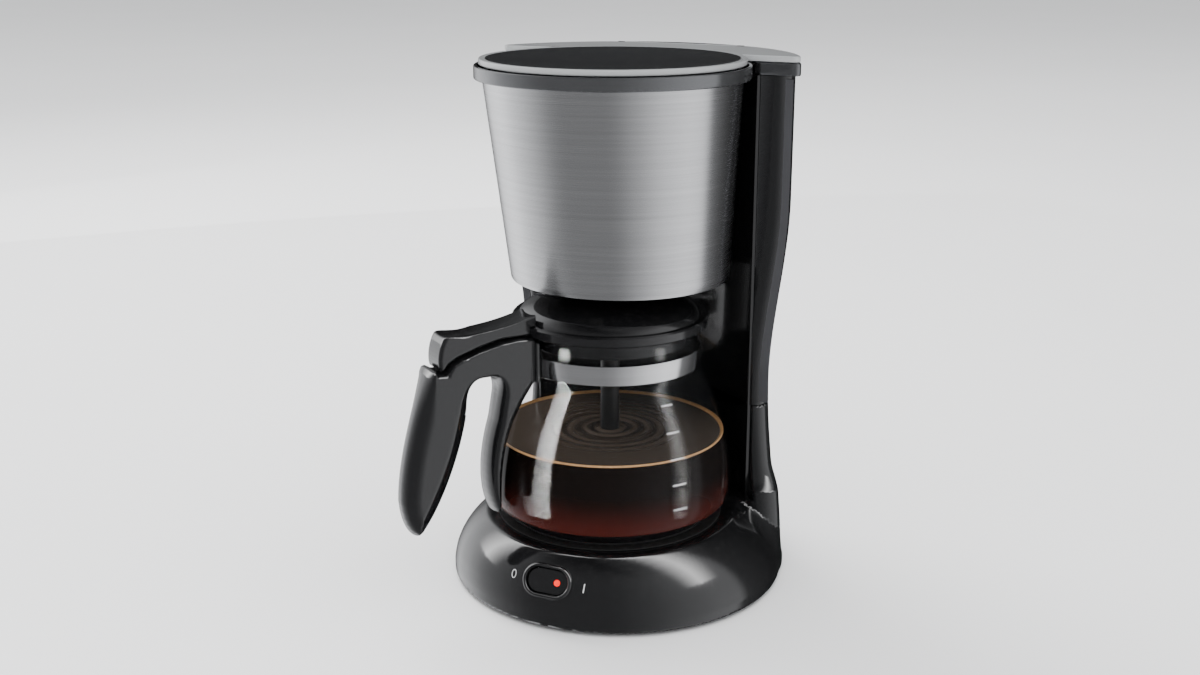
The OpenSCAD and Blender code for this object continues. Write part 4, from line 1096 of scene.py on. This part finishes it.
def build_jug_glass():
    """The glass: its outline, the same outline set in by its thickness, and a round lip."""
    t = mm(sizes("jug").glass)
    outer = glass_profile()
    inner = []
    for i, (r, z) in enumerate(outer):
        a, b = outer[max(i - 1, 0)], outer[min(i + 1, len(outer) - 1)]
        along = Vector((b[0] - a[0], b[1] - a[1])).normalized()
        inner.append((max(r - t * along.y, 0), z + t * along.x))
    inner[0] = (0, inner[0][1])
    inner[-1] = (inner[-1][0] + 0.3, GLASS_TOP - 0.3)
    top = [(outer[-1][0] - 0.5, GLASS_TOP)]
    profile = outer + top + list(reversed(inner))
    verts, faces = turned(profile, count=192)
    obj = make_object("jug_glass_body", verts, faces, 60)
    return piece(obj, "jug", finish("jug_glass"), ["jug_glass"])


def build_coffee():
    """Coffee up to its level, with ripples round the brew tube and a ring of foam at its edge."""
    level, ripple = mm(sizes("jug").level), 6.5
    overlap, low = 0.7, JUG_Z + mm(sizes("jug").glass) + 0.6
    edge = inner_radius(level) + overlap
    wall = [(0, low + 1.0), (40, low + 0.6), (58, low + 1.2)]
    wall += [(inner_radius(z) + overlap, z) for z in np.linspace(JUG_Z + 8, level, 40)]
    surface = [(edge - 0.6, level - 0.25)]
    for r in np.linspace(edge - 3, 0, 90):
        fade = math.exp(-((r - 12) / 22) ** 2) if r > 12 else 1.0
        surface.append((float(r), level - 0.35 + 0.55 * fade * math.cos(r * TAU / ripple)))
    verts, faces = turned(chain(wall, surface), count=128)
    obj = make_object("coffee_in_jug", verts, faces, 60)
    piece(obj, "jug", finish("coffee"))
    obj.data.materials.append(finish("coffee_top"))
    for face in obj.data.polygons:
        if face.normal.z > 0.5:
            face.material_index = 1
    ring = soften([(edge - 2.6, level - 0.3), (edge - 0.2, level - 0.3),
                   (edge - 0.2, level + 1.6), (edge - 1.2, level + 0.5)], 0.4, 3)
    verts, faces = turned(ring, count=160)
    foam = make_object("coffee_foam_ring", verts, faces)
    return piece(foam, "jug", finish("foam"))


def from_handle(points):
    """Points given as (distance from the jug's axis, sideways, height), in the row's frame."""
    t = sizes("jug").handle_turn
    u, v, z = np.asarray(points, float).T
    return np.stack([-u * math.sin(t) + v * math.cos(t), -u * math.cos(t) - v * math.sin(t), z], 1)


def handle_outline():
    """The handle seen from the side, as (distance from the jug's axis, height)."""
    b = BAND_Z
    return chain(
        [(58.2, b + 24.5), (70, b + 25.2), (80, b + 24.9), (94, b + 21.9), (107, b + 17.9),
         (112.5, b + 15.4), (116, b + 10.6), (121.3, b + 11), (122.5, b + 12.9), (125, b + 12)],
        bezier([(127, b + 9), (134, b - 12), (144, b - 42), (145, b - 67)], 16),
        bezier([(145, b - 69), (144, b - 84), (139, b - 92), (135, b - 91)], 8),
        bezier([(132, b - 89), (120, b - 72), (107, b - 44), (101.5, b - 16)], 16),
        bezier([(101, b - 8), (100, b), (97, b + 2.5), (92, b + 2.5)], 8),
        bezier([(87, b + 2.5), (82, b + 2), (79, b - 3), (80, b - 10)], 8),
        bezier([(83, b - 26), (91, b - 50), (91, b - 72), (85, b - 85)], 12),
        [(83, b - 86.3)],
        bezier([(80.5, b - 82), (81, b - 52), (77, b - 33), (66, b - 14)], 12),
        [(58.2, b - 3)])


def handle_width(u, z):
    """How far in from the outline the handle's section rounds over, in its own plane."""
    grip = ease((u - 90) / 16) * ease((BAND_Z + 10 - z) / 30)
    return 4.2 + 6.0 * grip - 2.2 * ease((z - BAND_Z - 4) / 8)


def handle_field(q, outline):
    """The handle in its own coordinates: an outline thickened, with a rounded section."""
    u, v, z = q.T
    flat = outline_distance(np.stack([u, z], 1), outline)
    depth, half = handle_width(u, z), 11.5
    round_v = np.minimum(half - 0.5, 3.0 + 8.5 * ease((u - 66) / 20))
    a = np.maximum(flat + depth, 0) / depth
    b = np.maximum(np.abs(v) - (half - round_v), 0) / round_v
    return (np.hypot(a, b) - 1) * 3.5


def handle_object(name, field, low, high, cell, rounded=True):
    """An object whose field and box are given in the handle's own coordinates."""
    points, normals, faces = field_mesh(field, low, high, cell)
    normals = from_handle(normals).tolist() if rounded else None
    return make_object(name, from_handle(points), faces.tolist(), 45, normals)


def build_jug_handle():
    """The handle with its clasp round the neck, and a grey strip along its inner edge that paints
    the highlight there.
    """
    outline = handle_outline()
    slot = [(58, BAND_Z + 14), (72, BAND_Z + 10), (108.8, BAND_Z + 6), (120.8, BAND_Z + 30),
            (58, BAND_Z + 40)]

    def field(q):
        u, v, z = q.T
        solid = handle_field(q, outline)
        r = np.hypot(u, v)
        collar = np.maximum(np.maximum(r - 61, 58.3 - r),
                            np.maximum(np.abs(z - BAND_Z - 9.5) - 12.5, np.abs(v) - 14.5))
        solid = soft_min(solid, soft_max(collar, np.abs(v) - 14.5, 0.8), 1.5)
        solid = np.maximum(solid, 58.3 - r)
        cut = np.maximum(outline_distance(np.stack([u, z], 1), slot), np.abs(v) - 4.4)
        return soft_max(solid, -cut, 0.5)

    cell = 1.0
    obj = handle_object("jug_handle_skin", field, (55, -16, 55), (149, 16, 173), cell)
    piece(obj, "jug", finish("gloss_black"), ["jug_handle"])
    b = BAND_Z
    # Painted highlight: a thin grey strip laid on the handle's inner edge, for the light line that
    # edge shows.
    inner = bezier([(133, b - 84), (119.5, b - 70), (108.2, b - 44), (103.8, b - 18)], 16)
    strip = chain(inner, (inner + [1.3, 0.3])[::-1])

    def strip_field(q):
        u, v, z = q.T
        flat = outline_distance(np.stack([u, z], 1), strip)
        return np.maximum(flat, handle_field(q, outline) - 0.25)

    obj = handle_object("handle_highlight_skin", strip_field, (100, -14, 58), (136, 14, 130),
                        cell * 0.6, rounded=False)
    return piece(obj, "jug", finish("grey_gloss"), ["handle_insert"])


def lever_outline():
    """The thumb lever seen from the side, as (distance from the jug's axis, height)."""
    z = RIM_Z
    return chain(
        [(54, z + 1.4), (54, z + 14.5), (56, z + 18), (60, z + 18.5), (69, z + 14.8),
         (81, z + 11.6), (93, z + 9.2)],
        bezier([(93, z + 9.2), (100, z + 6.2), (106, z + 6.6), (112.5, z + 10.6)], 10),
        bezier([(112.5, z + 10.6), (116.5, z + 9.8), (121.3, z), (120.3, z - 10)], 12),
        [(119.8, z - 12.1), (117.2, z - 12.8), (113.7, z - 8.6), (108.5, z - 5.9),
         (94, z - 1.5), (80, z + 1.4), (66, z + 1.2)])


def build_thumb_lever():
    """The lever that lifts the jug's lid, with a dent for the thumb and a foot in the slot."""
    outline = lever_outline()
    tongue = [(74, RIM_Z + 4), (110, RIM_Z - 1), (108, 157.6), (99, 157.6), (94, RIM_Z - 4),
              (74, RIM_Z + 1)]

    def field(q):
        u, v, z = q.T
        plane = np.stack([u, z], 1)
        flat = outline_distance(plane, outline)
        bar = soft_max(flat, np.abs(v) - 9.5, 2.4)
        dent = 62 - np.sqrt((u - 103) ** 2 * 0.35 + v ** 2 + (z - (RIM_Z + 68.8)) ** 2)
        bar = soft_max(bar, dent, 0.8)
        foot = np.maximum(outline_distance(plane, tongue), np.abs(v) - 4)
        r = np.hypot(u, v)
        over = np.maximum(r - 61.7, z - (RIM_Z + 6.7))
        dome = np.maximum(r - 57.7, z - (RIM_Z + 40))
        solid = np.maximum(bar, -np.minimum(over, dome))
        return np.minimum(solid, foot)

    cell = 0.8
    obj = handle_object("thumb_lever_skin", field, (52, -11, 154), (123, 11, 190), cell)
    return piece(obj, "jug", finish("gloss_black"), ["thumb_lever"])


def build_jug_lid():
    """The lid's flange, dome and inner skirt, and the disc over its funnel."""
    z, dome = RIM_Z, RIM_R - 4
    rim = [(RIM_R - 0.8, z + 0.02), (RIM_R, z + 0.8), (RIM_R, z + 5.4), (RIM_R - 0.9, z + 6.4)]
    top = bezier([(dome, z + 6.5), (dome - 3.6, z + 15), (dome - 24, DOME_TOP - 0.2),
                  (20, DOME_TOP - 0.1)], 28)
    under = bezier([(20, DOME_TOP - 2.6), (dome - 26, DOME_TOP - 2.6), (dome - 7, z + 12.5),
                    (dome - 3, z + 4)], 24)
    profile = chain([(43.5, z + 0.02)], [(50.4, z + 0.02), (50.4, z - 9.6), (50.8, z - 10),
                     (52.0, z - 10), (52.4, z - 9.6), (52.4, z + 0.02)], rim, top,
                    [(18.5, DOME_TOP - 0.1), (18.5, DOME_TOP - 2.6)], under, [(43.5, z + 2.6)])
    verts, faces = turned(profile, count=160)
    hub = soften([(0.02, DOME_TOP - 0.4), (18.6, DOME_TOP - 0.4), (18.6, DOME_TOP - 2.4),
                  (0.02, DOME_TOP - 2.4)], 0.2, 2)
    obj = make_object("jug_lid_skin", *joined((verts, faces), turned(hub, count=96)))
    return piece(obj, "jug", finish("gloss_black"), ["jug_lid"])


def build_jug_band():
    """The polished band round the neck."""
    low, high = BAND_Z, BAND_Z + BAND_HEIGHT
    profile = soften([(56.7, low), (58, low), (58, high), (56.7, high)], 0.35, 3)
    verts, faces = turned(profile, count=192)
    obj = make_object("jug_band_skin", verts, faces)
    return piece(obj, "jug", finish("polished_steel"), ["jug_band"])


def build_jug_marks():
    """The five strokes on the glass that show how much coffee there is."""
    s = sizes("jug")
    verts, faces = [], []
    for i in range(5):
        z = lerp(mm(s.low_mark), mm(s.high_mark), i / 4)
        start = len(verts)
        for j in range(9):
            a = s.mark_turn + math.radians(lerp(-3.65, 3.65, j / 8))
            for up in (-0.45, 0.45):
                r = inner_radius(z + up) + mm(s.glass) + 0.1
                verts.append((r * math.cos(a), r * math.sin(a), z + up))
        faces += [(start + 2 * j, start + 2 * j + 2, start + 2 * j + 3, start + 2 * j + 1)
                  for j in range(8)]
    return piece(make_object("jug_marks", verts, faces), "jug", finish("white_print"))


# ---------------------------------------------------------------- switch and hot plate


def switch_point(x, up, out):
    """A point given in the switch's own frame: right, up along the face, out of it."""
    c, s = math.cos(SWITCH_TILT), math.sin(SWITCH_TILT)
    return (x, SWITCH_Y + up * s - out * c, SWITCH_Z + up * c + out * s)


def oval(width, height, count=32):
    """The outline of a bar with round ends, anticlockwise from the lower right."""
    r, half = height / 2, (width - height) / 2
    out = []
    for i in range(count + 1):
        a = -math.pi / 2 + math.pi * i / count
        out.append((half + r * math.cos(a), r * math.sin(a)))
    for i in range(count + 1):
        a = math.pi / 2 + math.pi * i / count
        out.append((-half + r * math.cos(a), r * math.sin(a)))
    return out


def build_switch_bezel():
    """The oval ring round the rocker, with a rounded rim and a well."""
    levels = [(28.8, 16.8, -8.6), (28.8, 16.8, -1.6), (33, 21, -1.6), (33, 21, -0.3),
              (32.6, 20.6, 0.8), (31.6, 19.6, 1.6), (30.2, 18.2, 2.0), (28.8, 16.8, 1.8),
              (27.7, 15.7, 1.2), (27.0, 15.0, 0.2), (26.7, 14.7, -1.0), (26.6, 14.6, -8.6)]
    rings = [[switch_point(x, y, out) for x, y in oval(w, h)] for w, h, out in levels]
    verts, faces = loft(rings + [rings[0]])
    obj = make_object("switch_bezel_skin", *drop_doubles(verts, faces))
    return piece(obj, "machine", finish("gloss_black"), ["switch_bezel"])


def surface_point(x, up):
    """The point of the base's front that lies behind a place on the switch's plane."""
    low, high = -8.0, 8.0
    for _ in range(40):
        mid = (low + high) / 2
        if base_field(np.array([switch_point(x, up, mid)]))[0] < 0:
            low = mid
        else:
            high = mid
    return switch_point(x, up, high + 0.12)


def build_switch_marks():
    """The two marks beside the switch: a ring for off and a stroke for on."""
    rings = []
    for w, h in ((3.4, 5.4), (2.5, 4.5)):
        rings.append([surface_point(-23.5 + x, y + 0.4) for x, y in mark_ring(w, h)])
    verts, faces = loft(rings)
    start = len(verts)
    for i in range(9):
        up = lerp(-2.6, 2.8, i / 8)
        verts += [surface_point(23.3, up), surface_point(24.0, up)]
    faces += [(start + 2 * i, start + 2 * i + 1, start + 2 * i + 3, start + 2 * i + 2)
              for i in range(8)]
    obj = make_object("switch_marks", verts, faces)
    return piece(obj, "machine", finish("white_print"))


def mark_ring(width, height, count=28):
    """The outline of an ellipse, as points round its middle."""
    return [(width / 2 * math.cos(TAU * i / count), height / 2 * math.sin(TAU * i / count))
            for i in range(count)]


# ---------------------------------------------------------------- kept solids


def dress_solids():
    """Gives every solid that stays in view the finish that the record names for it."""
    for row in frame["record"]["subparts"]:
        node = frame["nodes"][row["node"]]
        for place in node.material_slots:
            place.material = finish(row["material_slot"])


# ---------------------------------------------------------------- stage


def soft_light(name, place, aim, width, height, power):
    """A rectangular light that faces a point."""
    data = bpy.data.lights.new(name, "AREA")
    data.shape, data.size, data.size_y = "RECTANGLE", width, height
    data.energy = power * sizes("stage").light
    light = bpy.data.objects.new(name, data)
    light.location = place
    light.rotation_euler = (Vector(aim) - Vector(place)).to_track_quat("-Z", "Y").to_euler()
    bpy.context.scene.collection.objects.link(light)
    return light


def build_floor():
    """A wide floor that gloss doesn't mirror."""
    half = 20000
    verts = [(x * half, y * half, 0) for x, y in ((-1, -1), (1, -1), (1, 1), (-1, 1))]
    floor = make_object("floor", verts, [(0, 1, 2, 3)])
    floor.data.materials.append(finish("floor"))
    floor.visible_glossy = False


def build_camera():
    """The camera, turned to the machine's axis and then a little to the left and down."""
    s = sizes("stage")
    data = bpy.data.cameras.new("camera")
    data.sensor_width, data.lens = 36.0, s.lens
    data.clip_start, data.clip_end = 0.05, 60.0
    camera = bpy.data.objects.new("camera", data)
    place = Vector(s.camera_place)
    heading = math.atan2(-place.y, -place.x) + s.camera_left
    down = s.camera_down
    toward = Vector((math.cos(heading) * math.cos(down), math.sin(heading) * math.cos(down),
                     -math.sin(down)))
    camera.location = place
    camera.rotation_euler = toward.to_track_quat("-Z", "Y").to_euler()
    bpy.context.scene.collection.objects.link(camera)
    bpy.context.scene.camera = camera


def direction(turn, rise):
    """The unit vector at an angle from the right and an angle up."""
    return Vector((math.cos(turn) * math.cos(rise), math.sin(turn) * math.cos(rise),
                   math.sin(rise)))


def soft_panel(tree, way, aim, half, blur, level):
    """A soft-edged bright patch of the surroundings, round a direction, as a value."""
    near = calculate_vector(tree, "DOT_PRODUCT", way, aim)["Value"]
    return map_range(tree, near, math.cos(half + blur), math.cos(max(half - blur, 0)),
                     to_high=level, kind="SMOOTHSTEP")


def wall_brightness(tree, way):
    """The walls' brightness as gloss mirrors it: by the angle round, and fading upward."""
    level = calculate_vector(tree, "MULTIPLY", way, (1, 1, 0))[0]
    level = calculate_vector(tree, "NORMALIZE", level)[0]
    flat = add_node(tree, "SeparateXYZ", {"Vector": level}).outputs
    turn = map_range(tree, calculate(tree, "ARCTAN2", flat["Y"], flat["X"]), -math.pi, math.pi)
    walls = add_node(tree, "ValToRGB", {"Fac": turn})
    stops = walls.color_ramp.elements
    while len(stops) < len(WALLS):
        stops.new(0.5)
    for stop, (degrees, shade) in zip(stops, WALLS):
        stop.position = degrees / 360 + 0.5
        stop.color = (shade / 2, shade / 2, shade / 2, 1)
    height = add_node(tree, "SeparateXYZ", {"Vector": way}).outputs["Z"]
    low = map_range(tree, height, 0.95, 0.6, kind="SMOOTHSTEP")
    return calculate(tree, "MULTIPLY", calculate(tree, "MULTIPLY", walls.outputs[0], low), 2.0)


def build_world():
    """Pale round the camera's view and for soft light, darker with a soft panel in gloss."""
    world = bpy.data.worlds.new("studio")
    world.use_nodes = True
    tree = world.node_tree
    tree.nodes.clear()
    way = add_node(tree, "TexCoord").outputs["Generated"]
    patch = soft_panel(tree, way, direction(math.radians(10), math.radians(70)),
                       math.radians(20), math.radians(16), 0.4)
    total = calculate(tree, "ADD", wall_brightness(tree, way), patch)
    total = calculate(tree, "ADD", total, 0.01)
    gloss = add_node(tree, "Background", {"Strength": total}, Color=(0.97, 0.98, 1.0, 1))
    soft = add_node(tree, "Background", Color=(0.98, 0.99, 1.0, 1), Strength=1.1)
    pale = add_node(tree, "Background", Color=(0.8, 0.8, 0.81, 1), Strength=1.9)
    path = add_node(tree, "LightPath").outputs
    even = calculate(tree, "MAXIMUM", path["Is Diffuse Ray"], path["Is Transmission Ray"])
    first = add_node(tree, "MixShader", {0: even, 1: gloss.outputs[0], 2: soft.outputs[0]})
    last = add_node(tree, "MixShader", {0: path["Is Camera Ray"], 1: first.outputs[0],
                                        2: pale.outputs[0]})
    add_node(tree, "OutputWorld", {"Surface": last.outputs[0]})
    bpy.context.scene.world = world


def receivers(name):
    """A collection of the pieces that some lights alone fall on."""
    made = bpy.data.collections.new(name)
    for part in RECEIVERS[name]:
        made.objects.link(frame["nodes"].get(part) or bpy.data.objects[part])
    return made


def build_lights():
    """A soft key and fill, and panels that only the glass or only the mouldings show."""
    aim = (0, 0.01, 0.17)
    key = soft_light("key", (-1.3, 0.55, 1.5), aim, 1.2, 1.2, 26)
    fill = soft_light("fill", (0.7, -1.5, 1.4), aim, 1.4, 1.4, 9)
    wash = soft_light("wash", (0, 0, 3), aim, 6, 6, 190)
    for light in (key, fill, wash):
        light.visible_glossy = False
    fall_on = {name: receivers(name) for name in RECEIVERS}
    wash.light_linking.receiver_collection = fall_on["ground"]
    for name, turn, rise, width, height, power, shown_by, brightest in PANELS:
        way = direction(math.radians(turn), math.radians(rise))
        place = Vector(PANEL_AIM) + PANEL_DISTANCE * way
        light = soft_light(name, place, PANEL_AIM, width, height, power)
        light.light_linking.receiver_collection = fall_on[shown_by]
        light.visible_diffuse = light.visible_transmission = False
        fade_light(light.data, brightest)


def fade_light(data, brightest):
    """Makes a panel brightest along its side or along its middle."""
    data.use_nodes = True
    tree = data.node_tree
    glow = next(node for node in tree.nodes if node.type == "EMISSION")
    place = add_node(tree, "NewGeometry").outputs["Parametric"]
    across = add_node(tree, "SeparateXYZ", {"Vector": place}).outputs["X"]
    if brightest == "middle":
        across = calculate(tree, "MULTIPLY", calculate(tree, "PINGPONG", across, 0.5), 2.0)
    tree.links.new(calculate(tree, "POWER", across, 1.6), glow.inputs["Strength"])


# ---------------------------------------------------------------- operators and panel


class COFFEE_OT_dress_solids(bpy.types.Operator):
    """Finishes of the solids that stay in view"""

    bl_idname = "coffee.dress_solids"
    bl_label = "Dress Solids"

    def execute(self, context):
        dress_solids()
        return {"FINISHED"}


class COFFEE_OT_base(bpy.types.Operator):
    """The round base with the tower's foot"""

    bl_idname = "coffee.base"
    bl_label = "Base"

    def execute(self, context):
        build_base_housing()
        return {"FINISHED"}


class COFFEE_OT_tower(bpy.types.Operator):
    """The tower's shell, recess and collar"""

    bl_idname = "coffee.tower"
    bl_label = "Tower"

    def execute(self, context):
        build_tower_shell()
        build_recess_panel()
        build_tower_collar()
        return {"FINISHED"}


class COFFEE_OT_drum(bpy.types.Operator):
    """The steel sleeve and its collar"""

    bl_idname = "coffee.drum"
    bl_label = "Drum"

    def execute(self, context):
        build_steel_sleeve()
        build_drum_collar()
        return {"FINISHED"}


class COFFEE_OT_lid(bpy.types.Operator):
    """The dished lid with its hinge barrel"""

    bl_idname = "coffee.lid"
    bl_label = "Lid"

    def execute(self, context):
        build_lid_cover()
        return {"FINISHED"}


class COFFEE_OT_jug(bpy.types.Operator):
    """The glass, its band and the coffee in it"""

    bl_idname = "coffee.jug"
    bl_label = "Jug"

    def execute(self, context):
        build_jug_glass()
        build_coffee()
        build_jug_band()
        build_jug_marks()
        return {"FINISHED"}


class COFFEE_OT_jug_lid(bpy.types.Operator):
    """The jug's lid with its thumb lever"""

    bl_idname = "coffee.jug_lid"
    bl_label = "Jug Lid"

    def execute(self, context):
        build_jug_lid()
        build_thumb_lever()
        return {"FINISHED"}


class COFFEE_OT_handle(bpy.types.Operator):
    """The jug's handle and the painted highlight along its inner edge"""

    bl_idname = "coffee.handle"
    bl_label = "Handle"

    def execute(self, context):
        build_jug_handle()
        return {"FINISHED"}


class COFFEE_OT_switch(bpy.types.Operator):
    """The switch's ring and its marks"""

    bl_idname = "coffee.switch"
    bl_label = "Switch"

    def execute(self, context):
        build_switch_bezel()
        build_switch_marks()
        return {"FINISHED"}


class COFFEE_OT_stage(bpy.types.Operator):
    """Floor, camera, surroundings and lights"""

    bl_idname = "coffee.stage"
    bl_label = "Stage"

    def execute(self, context):
        build_floor()
        build_camera()
        build_world()
        build_lights()
        return {"FINISHED"}


GROUPS = {"body": BodySizes, "drum": DrumSizes, "jug": JugSizes, "finishes": Finishes,
          "stage": StageSettings}
OPERATORS = (COFFEE_OT_dress_solids, COFFEE_OT_base, COFFEE_OT_tower, COFFEE_OT_drum,
             COFFEE_OT_lid, COFFEE_OT_jug, COFFEE_OT_jug_lid, COFFEE_OT_handle,
             COFFEE_OT_switch, COFFEE_OT_stage)


class COFFEE_PT_panel(bpy.types.Panel):
    """Lists the coffee maker's sizes and pieces in the sidebar."""

    bl_label = "Coffee Maker"
    bl_space_type = "VIEW_3D"
    bl_region_type = "UI"
    bl_category = "Coffee Maker"

    def draw(self, context):
        for group in GROUPS:
            box = self.layout.box()
            box.label(text=group.title())
            settings = sizes(group)
            for name in settings.__annotations__:
                box.prop(settings, name)
        for operator in OPERATORS:
            self.layout.operator(operator.bl_idname)


def register():
    """Registers the settings, the operators and the panel."""
    for name, group in GROUPS.items():
        bpy.utils.register_class(group)
        setattr(bpy.types.Scene, "coffee_" + name, bpy.props.PointerProperty(type=group))
    for cls in (*OPERATORS, COFFEE_PT_panel):
        bpy.utils.register_class(cls)


def unregister():
    """Takes them away again, in reverse order."""
    for cls in reversed((*OPERATORS, COFFEE_PT_panel)):
        bpy.utils.unregister_class(cls)
    for name, group in GROUPS.items():
        delattr(bpy.types.Scene, "coffee_" + name)
        bpy.utils.unregister_class(group)


def main():
    """Registers the settings, operators and panel, and builds everything."""
    register()
    bpy.ops.coffee.dress_solids()
    bpy.ops.coffee.base()
    bpy.ops.coffee.tower()
    bpy.ops.coffee.drum()
    bpy.ops.coffee.lid()
    bpy.ops.coffee.jug()
    bpy.ops.coffee.jug_lid()
    bpy.ops.coffee.handle()
    bpy.ops.coffee.switch()
    bpy.ops.coffee.stage()


if __name__ == "__main__":
    main()
